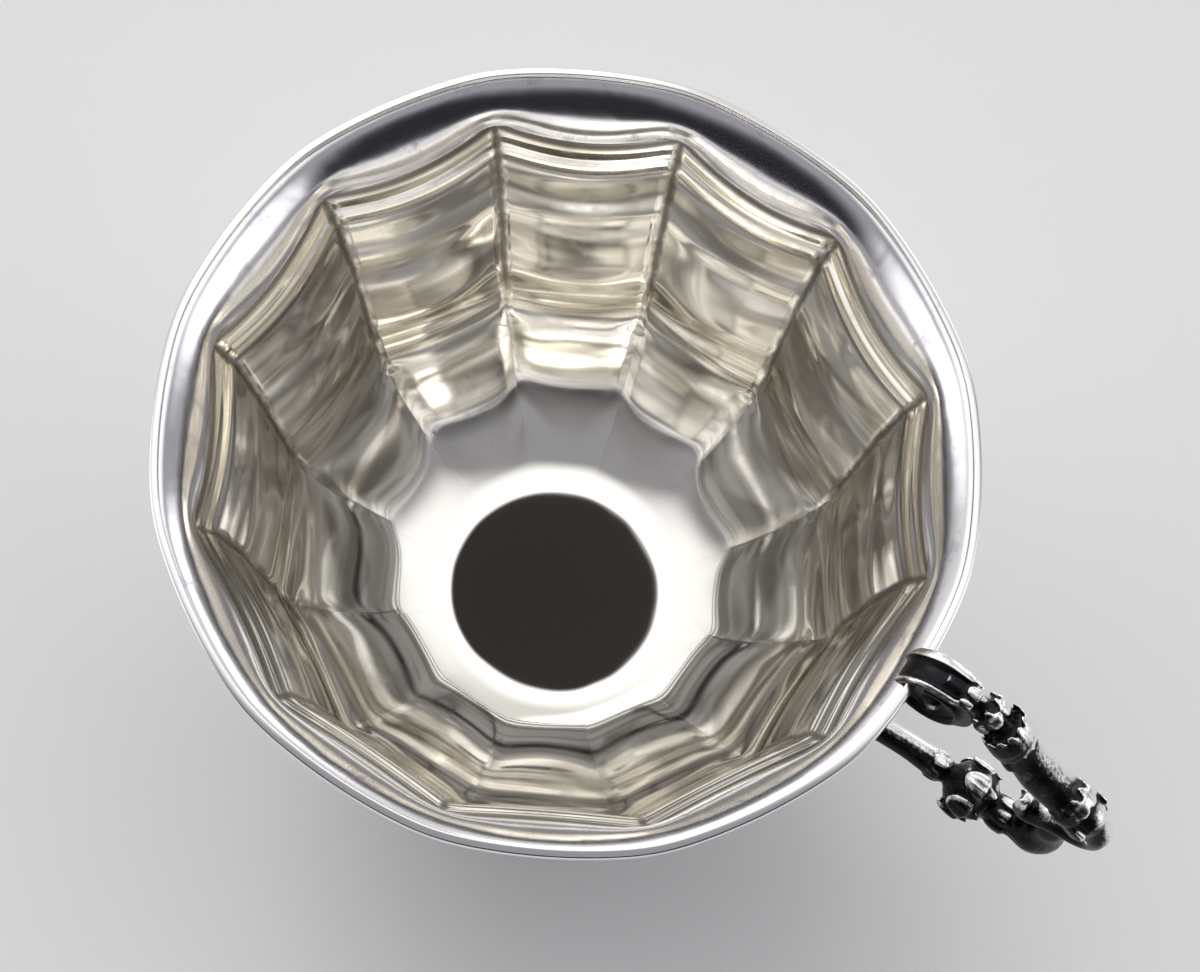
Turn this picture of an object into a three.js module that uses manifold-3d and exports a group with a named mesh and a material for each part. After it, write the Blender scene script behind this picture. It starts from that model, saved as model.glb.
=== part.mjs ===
// A silver tea cup: a raised bowl of twelve hollow flutes with a flared lip, a wire round the rim,
// a spreading foot on its own wire, and a cast C-scroll handle carried by a lower arm.
// Millimetres, +Z up, with the handle along +X. The pieces are made round the bowl's axis, with the table
// at z = 0, and the assembly then puts the origin under the middle of the whole cup.
// Depths are measured down from the top of the rim, radii of the bowl inside along an arris,
// the corner where two flutes meet.
import * as THREE from "three";
import { mergeVertices } from "three/addons/utils/BufferGeometryUtils.js";
import Module from "manifold-3d";

const wasm = await Module();
wasm.setup();

// Bowl
const FLUTES = 12;
const SHEET = 0.7; // thickness of the raised sheet
const BOWL_DEPTH = 44.7; // rim top to the inside of the floor
const MOUTH_RADIUS = 40; // outside of the rim wire
const LIP_DEPTH = 5; // rim top to the crease under the lip
const LIP_RADIUS = 36.5; // at that crease
const NECK_DEPTH = 8.5; // rim top to the crease under the neck band
const NECK_RADIUS = 34.5; // at that crease
const WALL_DEPTH = 27; // rim top to where the wall turns under
const WALL_RADIUS = 30.4; // at that turn
const FLOOR_RADIUS = 12; // flat middle of the floor
const FLUTE_HOLLOW = 0.65; // how far a flute's middle lies inside its chord, at the lip's crease
const WALL_HOLLOW = 0.5; // the same where the wall turns under
const CREASE_SAG = 1.9; // how far a flute's middle hangs below its arrises, at the lip's crease
const WALL_SAG = 1; // the same where the wall turns under
const MOUTH_FLUTING_SHARE = 0.3; // 0 is a round mouth, 1 a straight-sided one

// Rim wire, a D section soldered on the lip's edge
const RIM_WIRE_WIDTH = 0.95;
const RIM_WIRE_HEIGHT = 0.9;

// Foot
const FOOT_HEIGHT = 6.5; // table to the underside of the bowl
const FOOT_SHEET = 0.9;
const FOOT_NECK_RADIUS = 11.6; // outside of the foot where it meets the bowl
const FOOT_RADIUS = 22; // outside of the foot wire
const FOOT_WIRE_WIDTH = 2.2;
const FOOT_WIRE_HEIGHT = 1.3;
const FOOT_BRIM = 1.2; // flat of the foot inside the middle of its wire
const FOOT_LAND = 1.6; // flat turned in under the bowl for the solder

// Handle
const SOLDER_GAP = 0.3; // room left for the solder round the handle's seats
const VOLUTE_RADIUS = 4.2; // middle of the band, at the top of the upper volute
const VOLUTE_OVERHANG = 3; // how far the upper volute reaches in over the lip
const VOLUTE_RISE = 2.4; // how far it stands above the rim
const VOLUTE_TURNS = 1.1;
const VOLUTE_HEART_RADIUS = 1.9; // middle of the band, where the upper volute starts
const EYE_RADIUS = 1.3; // boss at the heart of the upper volute
const WEB_WIDTH = 2.6; // plate that closes the upper volute
const HANDLE_REACH = 62.8; // cup's axis to the outside of the handle
const HEEL_DEPTH = 12.9; // rim top to the handle's farthest point, where the lower volute begins
const HOOK_LENGTH = 7.6; // how far the lower volute runs back towards the cup
const HOOK_DROP = 5.3; // how far it hangs below the handle's farthest point
const BAND_THICKNESS = 1.7; // the volutes' band
const BAND_WIDTH = 4.4; // at the upper volute
const TIP_WIDTH = 2.6; // at the end of the lower volute
const NECK_THICKNESS = 2.4; // where the grip leaves the upper volute
const NECK_WIDTH = 2.6;
const GRIP_THICKNESS = 3.3;
const GRIP_WIDTH = 4;
const HEEL_THICKNESS = 3; // where the grip turns into the lower volute
const HEEL_WIDTH = 3.4;
const BUD_LENGTH = 3; // leaf bud under the neck
const BUD_RISE = 0.4;
const KNUCKLE_LENGTH = 4.2; // leafy knuckle where the grip begins
const KNUCKLE_RISE = 0.6;
const COLLAR_LENGTH = 4; // ringed collar over the lower volute
const COLLAR_RISE = 0.5;
const BELLY_RISE = 0.2; // swelling of the plain stretch between knuckle and collar
const TIP_RISE = 0.25; // swelling at the lower volute's tip
const ARM_DEPTH = 25.4; // rim top to the middle of the arm's root
const ARM_ARCH = 2; // how far the arm bows up between its root and the knob
const ARM_THICKNESS = 2.5; // at its root, where it is thinnest
const ARM_SWELL = 0.6; // added thickness from the knob on
const ROOT_FLARE = 1.2; // added thickness at the very root
const ROOT_FLARE_LENGTH = 3;
const KNOB_REACH = 49.2; // cup's axis to the middle of the knob
const KNOB_DEPTH = 23.2; // rim top to the middle of the knob
const KNOB_RADIUS = 3.3;
const KNOB_LENGTH = 6.8;
const LOBE_REACH = 57.3; // cup's axis to the middle of the lobe that carries the lower volute
const LOBE_DEPTH = 22.5; // rim top to the middle of the lobe
const LOBE_RADIUS = 2.2;
const WAIST_DROP = 1.2; // how far the arm dips between knob and lobe

// Fineness
const FLUTE_STEPS = 6; // facets across one flute
const FOOT_STEPS = 60; // facets round the foot
const OVAL_SIDES = 12; // sides of a swept section
const SWEEP_STEP = 0.8; // length of one step of a sweep

const RIM_TOP = FOOT_HEIGHT + SHEET + BOWL_DEPTH;
const LIP_EDGE = RIM_TOP - RIM_WIRE_HEIGHT;
const HALF_FLUTE = Math.PI / FLUTES;
const AROUND = FLUTES * FLUTE_STEPS;

const mix = (a, b, t) => a + (b - a) * t;
const ease = (t) => t * t * (3 - 2 * t);

// Solids

// A closed skin over rows of points. A row is a loop, or one point where the skin comes to a pole;
// when `ring` is true the last row joins the first.
function skin(rows, ring = false) {
  const positions = [];
  const first = rows.map((row) => {
    const start = positions.length / 3;
    row.forEach((p) => positions.push(p.x, p.y, p.z));
    return start;
  });
  const corner = (i, k) => first[i] + (k % rows[i].length);
  const index = [];
  const spans = ring ? rows.length : rows.length - 1;
  for (let i = 0; i < spans; i++) {
    const next = (i + 1) % rows.length;
    const count = Math.max(rows[i].length, rows[next].length);
    for (let k = 0; k < count; k++) {
      if (rows[i].length > 1) index.push(corner(i, k), corner(i, k + 1), corner(next, k + 1));
      if (rows[next].length > 1) index.push(corner(i, k), corner(next, k + 1), corner(next, k));
    }
  }
  const geometry = new THREE.BufferGeometry();
  geometry.setAttribute("position", new THREE.Float32BufferAttribute(positions, 3));
  geometry.setIndex(index);
  return geometry;
}

function toSolid(geometry) {
  const bare = new THREE.BufferGeometry();
  bare.setAttribute("position", geometry.getAttribute("position"));
  bare.setIndex(geometry.getIndex());
  const merged = mergeVertices(bare, 1e-4);
  return new wasm.Manifold(
    new wasm.Mesh({
      numProp: 3,
      vertProperties: merged.attributes.position.array,
      triVerts: new Uint32Array(merged.index.array),
    }),
  );
}

function toGeometry(solid) {
  const mesh = solid.getMesh();
  const geometry = new THREE.BufferGeometry();
  geometry.setAttribute("position", new THREE.BufferAttribute(mesh.vertProperties, 3));
  geometry.setIndex(new THREE.BufferAttribute(mesh.triVerts, 1));
  return geometry.toNonIndexed();
}

function largestPiece(solid) {
  return solid.decompose().reduce((a, b) => (a.volume() > b.volume() ? a : b));
}

// Bowl

// Radius and height of a fluted station at an angle. `fluting` draws the round towards the straight
// chord between arrises, `hollow` bends the chord inwards, and `sag` lets it hang, so that the crease
// under the lip is scalloped. A flute's middle lies at angle 0.
function flutedPoint(station, angle) {
  const fromMiddle = angle - Math.round(angle / (2 * HALF_FLUTE)) * 2 * HALF_FLUTE;
  const chord = Math.cos(HALF_FLUTE) / Math.cos(fromMiddle);
  const bow = 1 - (fromMiddle / HALF_FLUTE) ** 2;
  const round = station.r * (1 + station.fluting * (chord - 1));
  return { r: round - station.fluting * station.hollow * bow, z: station.z - station.sag * bow };
}

function flutedRow(station) {
  if (station.r === 0) return [new THREE.Vector3(0, 0, station.z)];
  return Array.from({ length: AROUND }, (_, j) => {
    const angle = (2 * Math.PI * j) / AROUND;
    const { r, z } = flutedPoint(station, angle);
    return new THREE.Vector3(r * Math.cos(angle), r * Math.sin(angle), z);
  });
}

// Stations of the bowl's inside from the edge of the lip down to the floor's edge.
function insideStations() {
  const point = (radius, depth) => new THREE.Vector2(radius, RIM_TOP - depth);
  const edge = point(MOUTH_RADIUS - RIM_WIRE_WIDTH, RIM_WIRE_HEIGHT);
  const lip = point(LIP_RADIUS, LIP_DEPTH);
  const neck = point(NECK_RADIUS, NECK_DEPTH);
  const turn = point(WALL_RADIUS, WALL_DEPTH);
  const floor = point(FLOOR_RADIUS, BOWL_DEPTH);
  const drop = turn.y - floor.y;
  const stretches = [
    {
      curve: new THREE.QuadraticBezierCurve(
        edge,
        point(mix(LIP_RADIUS, edge.x, 0.47), mix(LIP_DEPTH, RIM_WIRE_HEIGHT, 0.59)),
        lip,
      ),
      steps: 4,
      fluting: (t) => mix(MOUTH_FLUTING_SHARE, 1, ease(t)),
      hollow: (t) => FLUTE_HOLLOW * t,
      sag: (t) => CREASE_SAG * ease(t),
    },
    {
      curve: new THREE.LineCurve(lip, neck),
      steps: 2,
      fluting: () => 1,
      hollow: () => FLUTE_HOLLOW,
      sag: () => CREASE_SAG,
    },
    {
      curve: new THREE.QuadraticBezierCurve(
        neck,
        point(mix(WALL_RADIUS, NECK_RADIUS, 0.5), mix(NECK_DEPTH, WALL_DEPTH, 0.35)),
        turn,
      ),
      steps: 5,
      fluting: () => 1,
      hollow: (t) => mix(FLUTE_HOLLOW, WALL_HOLLOW, t),
      sag: (t) => mix(CREASE_SAG, WALL_SAG, t),
    },
    {
      curve: new THREE.CubicBezierCurve(
        turn,
        new THREE.Vector2(turn.x - 0.03 * drop, turn.y - 0.5 * drop),
        new THREE.Vector2(mix(floor.x, turn.x, 0.44), floor.y),
        floor,
      ),
      steps: 8,
      fluting: (t) => 1 - ease(Math.max(0, (t - 0.45) / 0.55)),
      hollow: (t) => mix(WALL_HOLLOW, 0, t),
      sag: (t) => WALL_SAG * (1 - t) ** 2,
    },
  ];
  const stations = [];
  stretches.forEach(({ curve, steps, fluting, hollow, sag }, n) => {
    for (let i = n ? 1 : 0; i <= steps; i++) {
      const t = i / steps;
      const p = curve.getPoint(t);
      stations.push({ r: p.x, z: p.y, fluting: fluting(t), hollow: hollow(t), sag: sag(t) });
    }
  });
  return stations;
}

const inside = insideStations();

// The same stations pushed out of the inside by a distance; the lip's edge stays level.
function offsetStations(stations, distance) {
  return stations.map((s, i) => {
    const before = stations[Math.max(i - 1, 0)];
    const after = stations[i + 1] ?? { r: 0, z: s.z };
    const along = new THREE.Vector2(after.r - before.r, after.z - before.z).normalize();
    const out = new THREE.Vector2(-along.y, along.x);
    if (i === 0) return { ...s, r: s.r + distance / out.x };
    return { ...s, r: s.r + out.x * distance, z: s.z + out.y * distance };
  });
}

// The bowl's shell, grown on every side by a clearance for cutting what seats on it.
function bowlSolid(grow = 0) {
  const outer = offsetStations(inside, SHEET + grow);
  const inner = offsetStations(inside, -grow);
  outer[0].z += grow;
  inner[0].z += grow;
  const floorTop = RIM_TOP - BOWL_DEPTH + grow;
  const floorUnder = RIM_TOP - BOWL_DEPTH - SHEET - grow;
  return skin([
    flutedRow({ r: 0, z: floorUnder }),
    ...outer.reverse().map(flutedRow),
    ...inner.map(flutedRow),
    flutedRow({ r: 0, z: floorTop }),
  ]);
}

// Rim wire: flat under, half round above.
function rimWire(grow = 0) {
  const { fluting, hollow, sag } = inside[0];
  const outerEdge = MOUTH_RADIUS + grow;
  const innerEdge = MOUTH_RADIUS - RIM_WIRE_WIDTH - grow;
  const middle = (outerEdge + innerEdge) / 2;
  const halfWidth = (outerEdge - innerEdge) / 2;
  const arcSteps = 6;
  const profile = [];
  for (let i = 0; i <= arcSteps; i++) {
    const a = (Math.PI * i) / arcSteps;
    profile.push({
      r: middle + halfWidth * Math.cos(a),
      z: LIP_EDGE + (RIM_WIRE_HEIGHT + grow) * Math.sin(a),
      fluting,
      hollow,
      sag,
    });
  }
  if (grow) {
    profile.unshift({ r: outerEdge, z: LIP_EDGE - grow, fluting, hollow, sag });
    profile.push({ r: innerEdge, z: LIP_EDGE - grow, fluting, hollow, sag });
  }
  return skin(profile.map(flutedRow), true);
}

// Foot

const lathe = (points) => new THREE.LatheGeometry(points, FOOT_STEPS).rotateX(Math.PI / 2);

// Spreading foot of sheet: a land soldered under the bowl, a hollow moulding and a flat brim on the wire.
function footRing() {
  const brim = FOOT_RADIUS - FOOT_WIRE_WIDTH / 2;
  const outer = new THREE.Path();
  outer.moveTo(brim, FOOT_WIRE_HEIGHT);
  outer.lineTo(brim, FOOT_WIRE_HEIGHT + FOOT_SHEET);
  outer.lineTo(brim - FOOT_BRIM, FOOT_WIRE_HEIGHT + FOOT_SHEET);
  outer.bezierCurveTo(
    mix(brim, FOOT_NECK_RADIUS, 0.45),
    mix(FOOT_WIRE_HEIGHT + FOOT_SHEET, FOOT_HEIGHT, 0.1),
    FOOT_NECK_RADIUS,
    mix(FOOT_WIRE_HEIGHT, FOOT_HEIGHT, 0.35),
    FOOT_NECK_RADIUS,
    FOOT_HEIGHT,
  );
  const rim = outer.getPoints(6);
  const innerNeck = FOOT_NECK_RADIUS - FOOT_SHEET;
  const inner = new THREE.Path();
  inner.moveTo(innerNeck - FOOT_LAND, FOOT_HEIGHT);
  inner.lineTo(innerNeck - FOOT_LAND, FOOT_HEIGHT - FOOT_SHEET);
  inner.lineTo(innerNeck, FOOT_HEIGHT - FOOT_SHEET);
  inner.bezierCurveTo(
    innerNeck,
    mix(FOOT_WIRE_HEIGHT, FOOT_HEIGHT, 0.2),
    mix(brim, FOOT_NECK_RADIUS, 0.5),
    FOOT_WIRE_HEIGHT,
    brim - FOOT_WIRE_WIDTH / 2,
    FOOT_WIRE_HEIGHT,
  );
  const points = [...rim, ...inner.getPoints(6)];
  return lathe([...points, points[0].clone()]);
}

// Foot wire: square under, rounded on the outside, with a flat top for the foot.
function footWire() {
  const innerEdge = FOOT_RADIUS - FOOT_WIRE_WIDTH;
  const bead = FOOT_WIRE_HEIGHT / 2;
  const profile = new THREE.Path();
  profile.moveTo(innerEdge, 0);
  profile.lineTo(FOOT_RADIUS - bead, 0);
  profile.absarc(FOOT_RADIUS - bead, bead, bead, -Math.PI / 2, Math.PI / 2, false);
  profile.lineTo(innerEdge, FOOT_WIRE_HEIGHT);
  const points = profile.getPoints(4);
  return lathe([...points, points[0].clone()]);
}

// Handle. Its pieces are swept in the plane y = 0: x runs away from the cup and z up.

// A rise of `amount` centred on `at` that dies away over `reach` on both sides.
const swell = (s, at, reach, amount) =>
  amount * Math.cos((Math.PI / 2) * Math.min(1, Math.abs(s - at) / reach)) ** 2;

// Even steps along a line of points, each with its distance from the start and the share run.
function evenSteps(points) {
  const line = new THREE.CatmullRomCurve3(points, false, "centripetal");
  line.arcLengthDivisions = 20 * points.length;
  const length = line.getLength();
  const count = Math.ceil(length / SWEEP_STEP);
  return Array.from({ length: count + 1 }, (_, i) => ({
    p: line.getPointAt(i / count),
    along: line.getTangentAt(i / count),
    s: (length * i) / count,
    t: i / count,
  }));
}

// Sweeps an oval of the half sizes that `section` gives at each step, and rounds both ends.
function sweep(steps, section) {
  const rows = steps.map((step) => {
    const { thick, wide } = section(step);
    const out = new THREE.Vector3(step.along.z, 0, -step.along.x);
    return Array.from({ length: OVAL_SIDES }, (_, k) => {
      const a = (2 * Math.PI * k) / OVAL_SIDES;
      const across = new THREE.Vector3(0, wide * Math.sin(a), 0);
      return step.p.clone().addScaledVector(out, thick * Math.cos(a)).add(across);
    });
  });
  const last = steps.length - 1;
  return skin([[steps[0].p.clone()], ...rows, [steps[last].p.clone()]]);
}

const inPlane = (x, z) => new THREE.Vector3(x, 0, z);
const rimReach = flutedPoint({ ...inside[0], r: MOUTH_RADIUS }, 0).r;
const volute = inPlane(
  rimReach - VOLUTE_OVERHANG + BAND_THICKNESS / 2 + VOLUTE_RADIUS,
  RIM_TOP + VOLUTE_RISE - BAND_THICKNESS / 2 - VOLUTE_RADIUS,
);
const heel = inPlane(HANDLE_REACH - HEEL_THICKNESS / 2, RIM_TOP - HEEL_DEPTH);

const hookPoint = (back, down) => inPlane(heel.x - HOOK_LENGTH * back, heel.z - HOOK_DROP * down);

// Points round a volute from one angle to another, in degrees, while its radius changes evenly.
function volutePoints(centre, fromAngle, toAngle, fromRadius, toRadius, count) {
  return Array.from({ length: count + 1 }, (_, i) => {
    const a = THREE.MathUtils.degToRad(mix(fromAngle, toAngle, i / count));
    const r = mix(fromRadius, toRadius, i / count);
    return inPlane(centre.x + r * Math.cos(a), centre.z + r * Math.sin(a));
  });
}

// The C scroll's line: out of the upper volute, down the grip and into the lower volute.
// The grip's points are shares of the way across and down from the upper volute's crest to the heel,
// and the lower volute's are shares of its length back towards the cup and of its drop.
const GRIP_LINE = [
  [0.06, 0.01],
  [0.17, 0.055],
  [0.29, 0.155],
  [0.425, 0.32],
  [0.567, 0.52],
  [0.722, 0.665],
  [0.865, 0.77],
  [0.96, 0.87],
  [0.995, 0.96],
];
const HOOK_LINE = [
  [0, 0],
  [0.013, 0.15],
  [0.09, 0.4],
  [0.26, 0.55],
  [0.47, 0.65],
  [0.67, 0.81],
  [0.84, 0.96],
  [0.96, 0.88],
  [1, 0.62],
  [0.99, 0.42],
];
const HOOK_SEAT = HOOK_LINE[4]; // where the lobe of the arm carries the lower volute

function scrollSteps() {
  const start = 90 + 360 * VOLUTE_TURNS;
  const upper = volutePoints(volute, start, 90, VOLUTE_HEART_RADIUS, VOLUTE_RADIUS, 22);
  const top = upper[upper.length - 1];
  const grip = GRIP_LINE.map(([across, down]) =>
    inPlane(mix(top.x, heel.x, across), mix(top.z, heel.z, down)),
  );
  const lower = HOOK_LINE.map(([back, down]) => hookPoint(back, down));
  return evenSteps([...upper, ...grip, ...lower]);
}

// Places on the grip are shares of the way from the upper volute's crest to the handle's farthest point.
const NECK_SHARE = 0.1;
const KNUCKLE_SHARE = 0.35;
const COLLAR_SHARE = 0.69;
const KNOTS = [
  { at: 0.2, length: BUD_LENGTH, rise: BUD_RISE },
  { at: KNUCKLE_SHARE, length: KNUCKLE_LENGTH, rise: KNUCKLE_RISE },
  { at: COLLAR_SHARE, length: COLLAR_LENGTH, rise: COLLAR_RISE },
];

// Half sizes of the scroll's section at a step of its line.
function scrollSection(steps, { s }, grow) {
  const crest = steps.reduce((a, b) => (b.p.z > a.p.z ? b : a)).s;
  const turn = steps.reduce((a, b) => (b.p.x > a.p.x ? b : a)).s;
  const end = steps[steps.length - 1].s;
  const share = (s - crest) / (turn - crest);
  const passed = (from, to, at) => ease(THREE.MathUtils.clamp((at - from) / (to - from), 0, 1));
  const stages = [
    passed(0, NECK_SHARE, share),
    passed(NECK_SHARE, KNUCKLE_SHARE, share),
    passed(COLLAR_SHARE, 1, share),
    passed(turn, end, s),
  ];
  const along = (first, ...later) =>
    later.reduce((size, next, i) => mix(size, next, stages[i]), first) / 2;
  const knots = KNOTS.map((knot) =>
    swell(s, mix(crest, turn, knot.at), knot.length / 2, knot.rise),
  );
  const bellyAt = (KNUCKLE_SHARE + COLLAR_SHARE) / 2;
  const belly = swell(share, bellyAt, COLLAR_SHARE - bellyAt, BELLY_RISE);
  const tip = swell(s, end - BAND_THICKNESS / 2, BAND_THICKNESS, TIP_RISE);
  const swelling = Math.max(...knots) + belly + tip;
  const fromEnd = Math.min(1, Math.min(s, end - s) / (BAND_THICKNESS * 0.7));
  const rounding = Math.sqrt(1 - 0.85 * (1 - fromEnd) ** 2);
  const thick = along(BAND_THICKNESS, NECK_THICKNESS, GRIP_THICKNESS, HEEL_THICKNESS, BAND_THICKNESS);
  const wide = along(BAND_WIDTH, NECK_WIDTH, GRIP_WIDTH, HEEL_WIDTH, TIP_WIDTH);
  return {
    thick: (thick + swelling) * rounding + grow,
    wide: (wide + 0.85 * swelling) * rounding + grow,
  };
}

function scrollLine(grow = 0) {
  const steps = scrollSteps();
  return toSolid(sweep(steps, (step) => scrollSection(steps, step, grow)));
}

// Upper volute's web and eye, with the band and grip, notched to sit astride the rim.
function handleScroll() {
  const web = new THREE.CylinderGeometry(VOLUTE_RADIUS, VOLUTE_RADIUS, WEB_WIDTH, 32);
  web.translate(volute.x, 0, volute.z);
  const eye = new THREE.SphereGeometry(EYE_RADIUS, 14, 10);
  eye.scale(1, BAND_WIDTH / 2 / EYE_RADIUS, 1).translate(volute.x, 0, volute.z);
  const whole = scrollLine().add(toSolid(web)).add(toSolid(eye));
  const seat = toSolid(bowlSolid(SOLDER_GAP)).add(toSolid(rimWire(SOLDER_GAP)));
  return toGeometry(largestPiece(whole.subtract(seat)));
}

// Radius of the bowl's outside at the middle of a flute, at a height.
function outsideReach(z) {
  const outer = offsetStations(inside, SHEET).map((station) => flutedPoint(station, 0));
  const i = outer.findIndex((point) => point.z < z);
  const [above, below] = [outer[i - 1], outer[i]];
  const t = (above.z - z) / (above.z - below.z);
  return mix(above.r, below.r, t);
}

// Lower arm: from the wall, bowed and thickening, through a knob and a waist to the lobe that carries
// the lower volute.
function handleArm() {
  const rootHeight = RIM_TOP - ARM_DEPTH;
  const root = inPlane(outsideReach(rootHeight) - SHEET / 2, rootHeight);
  const knob = inPlane(KNOB_REACH, RIM_TOP - KNOB_DEPTH);
  const lobe = inPlane(LOBE_REACH, RIM_TOP - LOBE_DEPTH);
  const waist = inPlane((knob.x + lobe.x) / 2, Math.min(knob.z, lobe.z) - WAIST_DROP);
  const arch = (share) => ARM_ARCH * Math.sin(Math.PI * share);
  const bowed = (share) =>
    inPlane(mix(root.x, knob.x, share), mix(root.z, knob.z, share) + arch(share));
  const steps = evenSteps([
    root,
    bowed(0.25),
    bowed(0.5),
    bowed(0.75),
    knob,
    waist,
    lobe,
    hookPoint(...HOOK_SEAT),
  ]);
  const ball = (p, middle, radius, length) => {
    const away = Math.min(1, p.distanceTo(middle) / (length / 2));
    return radius * Math.sqrt(1 - away ** 2);
  };
  const solid = toSolid(
    sweep(steps, ({ p, s, t }) => {
      const rootFlare = (ROOT_FLARE / 2) * Math.max(0, 1 - s / ROOT_FLARE_LENGTH) ** 2;
      const swelling = (ARM_SWELL / 2) * ease(Math.min(1, t / 0.6));
      const stem = ARM_THICKNESS / 2 + rootFlare + swelling;
      const half = Math.max(
        stem,
        ball(p, knob, KNOB_RADIUS, KNOB_LENGTH),
        ball(p, lobe, LOBE_RADIUS, 2 * LOBE_RADIUS),
      );
      return { thick: half, wide: half };
    }),
  );
  const seat = toSolid(bowlSolid(SOLDER_GAP)).add(scrollLine(SOLDER_GAP));
  return toGeometry(largestPiece(solid.subtract(seat)));
}

// Assembly

const silver = { color: 0xd9d6d0, metalness: 1, roughness: 0.16 };
const polished = new THREE.MeshStandardMaterial(silver);
const gilded = new THREE.MeshStandardMaterial({ ...silver, color: 0xd8cfae });
const cast = new THREE.MeshStandardMaterial({ ...silver, color: 0xb9b7b3, roughness: 0.3 });

function piece(name, geometry, material) {
  const mesh = new THREE.Mesh(geometry, material);
  mesh.name = name;
  return mesh;
}

const pieces = new THREE.Group();
pieces.add(
  piece("cup_body", bowlSolid(), gilded),
  piece("rim_wire", rimWire(), polished),
  piece("foot_ring", footRing(), polished),
  piece("foot_wire", footWire(), polished),
  piece("handle_scroll", handleScroll(), cast),
  piece("handle_arm", handleArm(), cast),
);

const bounds = new THREE.Box3().setFromObject(pieces);
pieces.position.x = -(bounds.min.x + bounds.max.x) / 2;

const cup = new THREE.Group();
cup.name = "silver_cup";
cup.add(pieces);

export default cup;
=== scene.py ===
# %% [markdown]
# # A silver tea cup
# The cup is a raised bowl of twelve flutes with a flared lip, a wire round the rim, a foot on its own wire,
# and a cast handle in two pieces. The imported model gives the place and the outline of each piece. This lesson
# models each of them again with its finer shape, and gives it its finish. Everything is in metres, +Z is up,
# and the handle points along +X.

import math

import bmesh
import bpy
from mathutils import Matrix, Vector, geometry


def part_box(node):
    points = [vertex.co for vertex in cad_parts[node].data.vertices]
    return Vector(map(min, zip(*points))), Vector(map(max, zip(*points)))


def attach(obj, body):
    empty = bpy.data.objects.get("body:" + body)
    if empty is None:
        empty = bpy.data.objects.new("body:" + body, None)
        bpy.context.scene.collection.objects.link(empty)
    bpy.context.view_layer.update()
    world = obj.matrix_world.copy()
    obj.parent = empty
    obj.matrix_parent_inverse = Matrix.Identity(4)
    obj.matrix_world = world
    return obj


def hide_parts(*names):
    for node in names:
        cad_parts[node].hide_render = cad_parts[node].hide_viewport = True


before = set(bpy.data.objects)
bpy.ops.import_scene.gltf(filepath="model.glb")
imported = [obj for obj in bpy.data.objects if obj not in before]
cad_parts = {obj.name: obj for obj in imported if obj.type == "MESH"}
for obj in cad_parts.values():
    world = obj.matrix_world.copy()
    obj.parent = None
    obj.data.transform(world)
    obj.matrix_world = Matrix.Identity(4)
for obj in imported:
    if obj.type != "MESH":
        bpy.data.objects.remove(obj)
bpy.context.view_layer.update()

# %% [markdown]
# The bowl's axis isn't at the origin, because the origin lies under the middle of the whole cup, handle
# included. The foot is round, so the middle of its box is the axis. The rim wire's top is the height that
# depths inside the bowl are measured from.

# %% Find the axis and the rim
MM = 0.001
foot_low, foot_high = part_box("foot_ring")
AXIS = Vector(((foot_low.x + foot_high.x) / 2, 0, 0))
RIM_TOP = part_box("rim_wire")[1].z


def at_depth(depth):
    """The point of the axis that lies so many mm below the rim."""
    return Vector((AXIS.x, 0, RIM_TOP - depth * MM))


print("axis at x", round(AXIS.x / MM, 2), "mm, rim top at", round(RIM_TOP / MM, 2), "mm")

# %% [markdown]
# The camera comes first. It looks down into the mouth from a forearm's length away, tilted about twenty
# degrees off the bowl's axis, as the photograph does. Its three directions are worked out from the tilt, the
# roll and the turn about the axis, and become the columns of its matrix.

# %% Camera
TILT = math.radians(20.69)
ROLL = math.radians(-6.77)
TURN = math.radians(27)
TO_THE_RIGHT, UPWARDS, AWAY = 2.96, -4.31, 250
LENS, SENSOR_WIDTH = 79.77, 36

camera_right = Vector(
    (math.cos(ROLL), -math.sin(ROLL) * math.cos(TILT), -math.sin(ROLL) * math.sin(TILT))
)
camera_up = Vector((math.sin(ROLL), math.cos(ROLL) * math.cos(TILT), math.cos(ROLL) * math.sin(TILT)))
camera_back = Vector((0, -math.sin(TILT), math.cos(TILT)))
camera_place = (TO_THE_RIGHT * camera_right + UPWARDS * camera_up + AWAY * camera_back) * MM
about_axis = Matrix.Rotation(TURN, 3, "Z")
columns = Matrix((camera_right, camera_up, camera_back)).transposed()
camera_matrix = (about_axis @ columns).to_4x4()
camera_matrix.translation = at_depth(0) + about_axis @ camera_place

bpy.ops.object.camera_add()
camera = bpy.context.object
camera.name = "camera"
camera.matrix_world = camera_matrix
camera.data.sensor_fit = "HORIZONTAL"
camera.data.sensor_width = SENSOR_WIDTH
camera.data.lens = LENS
camera.data.clip_start = 0.01
bpy.context.scene.camera = camera
print("camera at", [round(v / MM, 1) for v in camera_matrix.translation])

# %% [markdown]
# ## Small helpers
# An operator works on all that is selected, so every piece starts with nothing selected. Points, edges and
# faces are then picked by their place or by the way they face.

# %% Take a piece and edit it


def deselect():
    if bpy.context.object and bpy.context.object.mode != "OBJECT":
        bpy.ops.object.mode_set(mode="OBJECT")
    bpy.ops.object.select_all(action="DESELECT")


def take(piece):
    """Selects one piece alone and makes it the active one."""
    deselect()
    bpy.context.view_layer.objects.active = piece
    piece.select_set(True)


def edit():
    bpy.ops.object.mode_set(mode="EDIT")
    bpy.ops.mesh.select_mode(type="VERT")
    bpy.ops.mesh.select_all(action="SELECT")


def leave_edit():
    bpy.ops.object.mode_set(mode="OBJECT")


print("selection helpers ready")

# %% Pick points and finish a piece


def open_mesh():
    """The mesh in edit mode."""
    return bmesh.from_edit_mesh(bpy.context.object.data)


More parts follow.
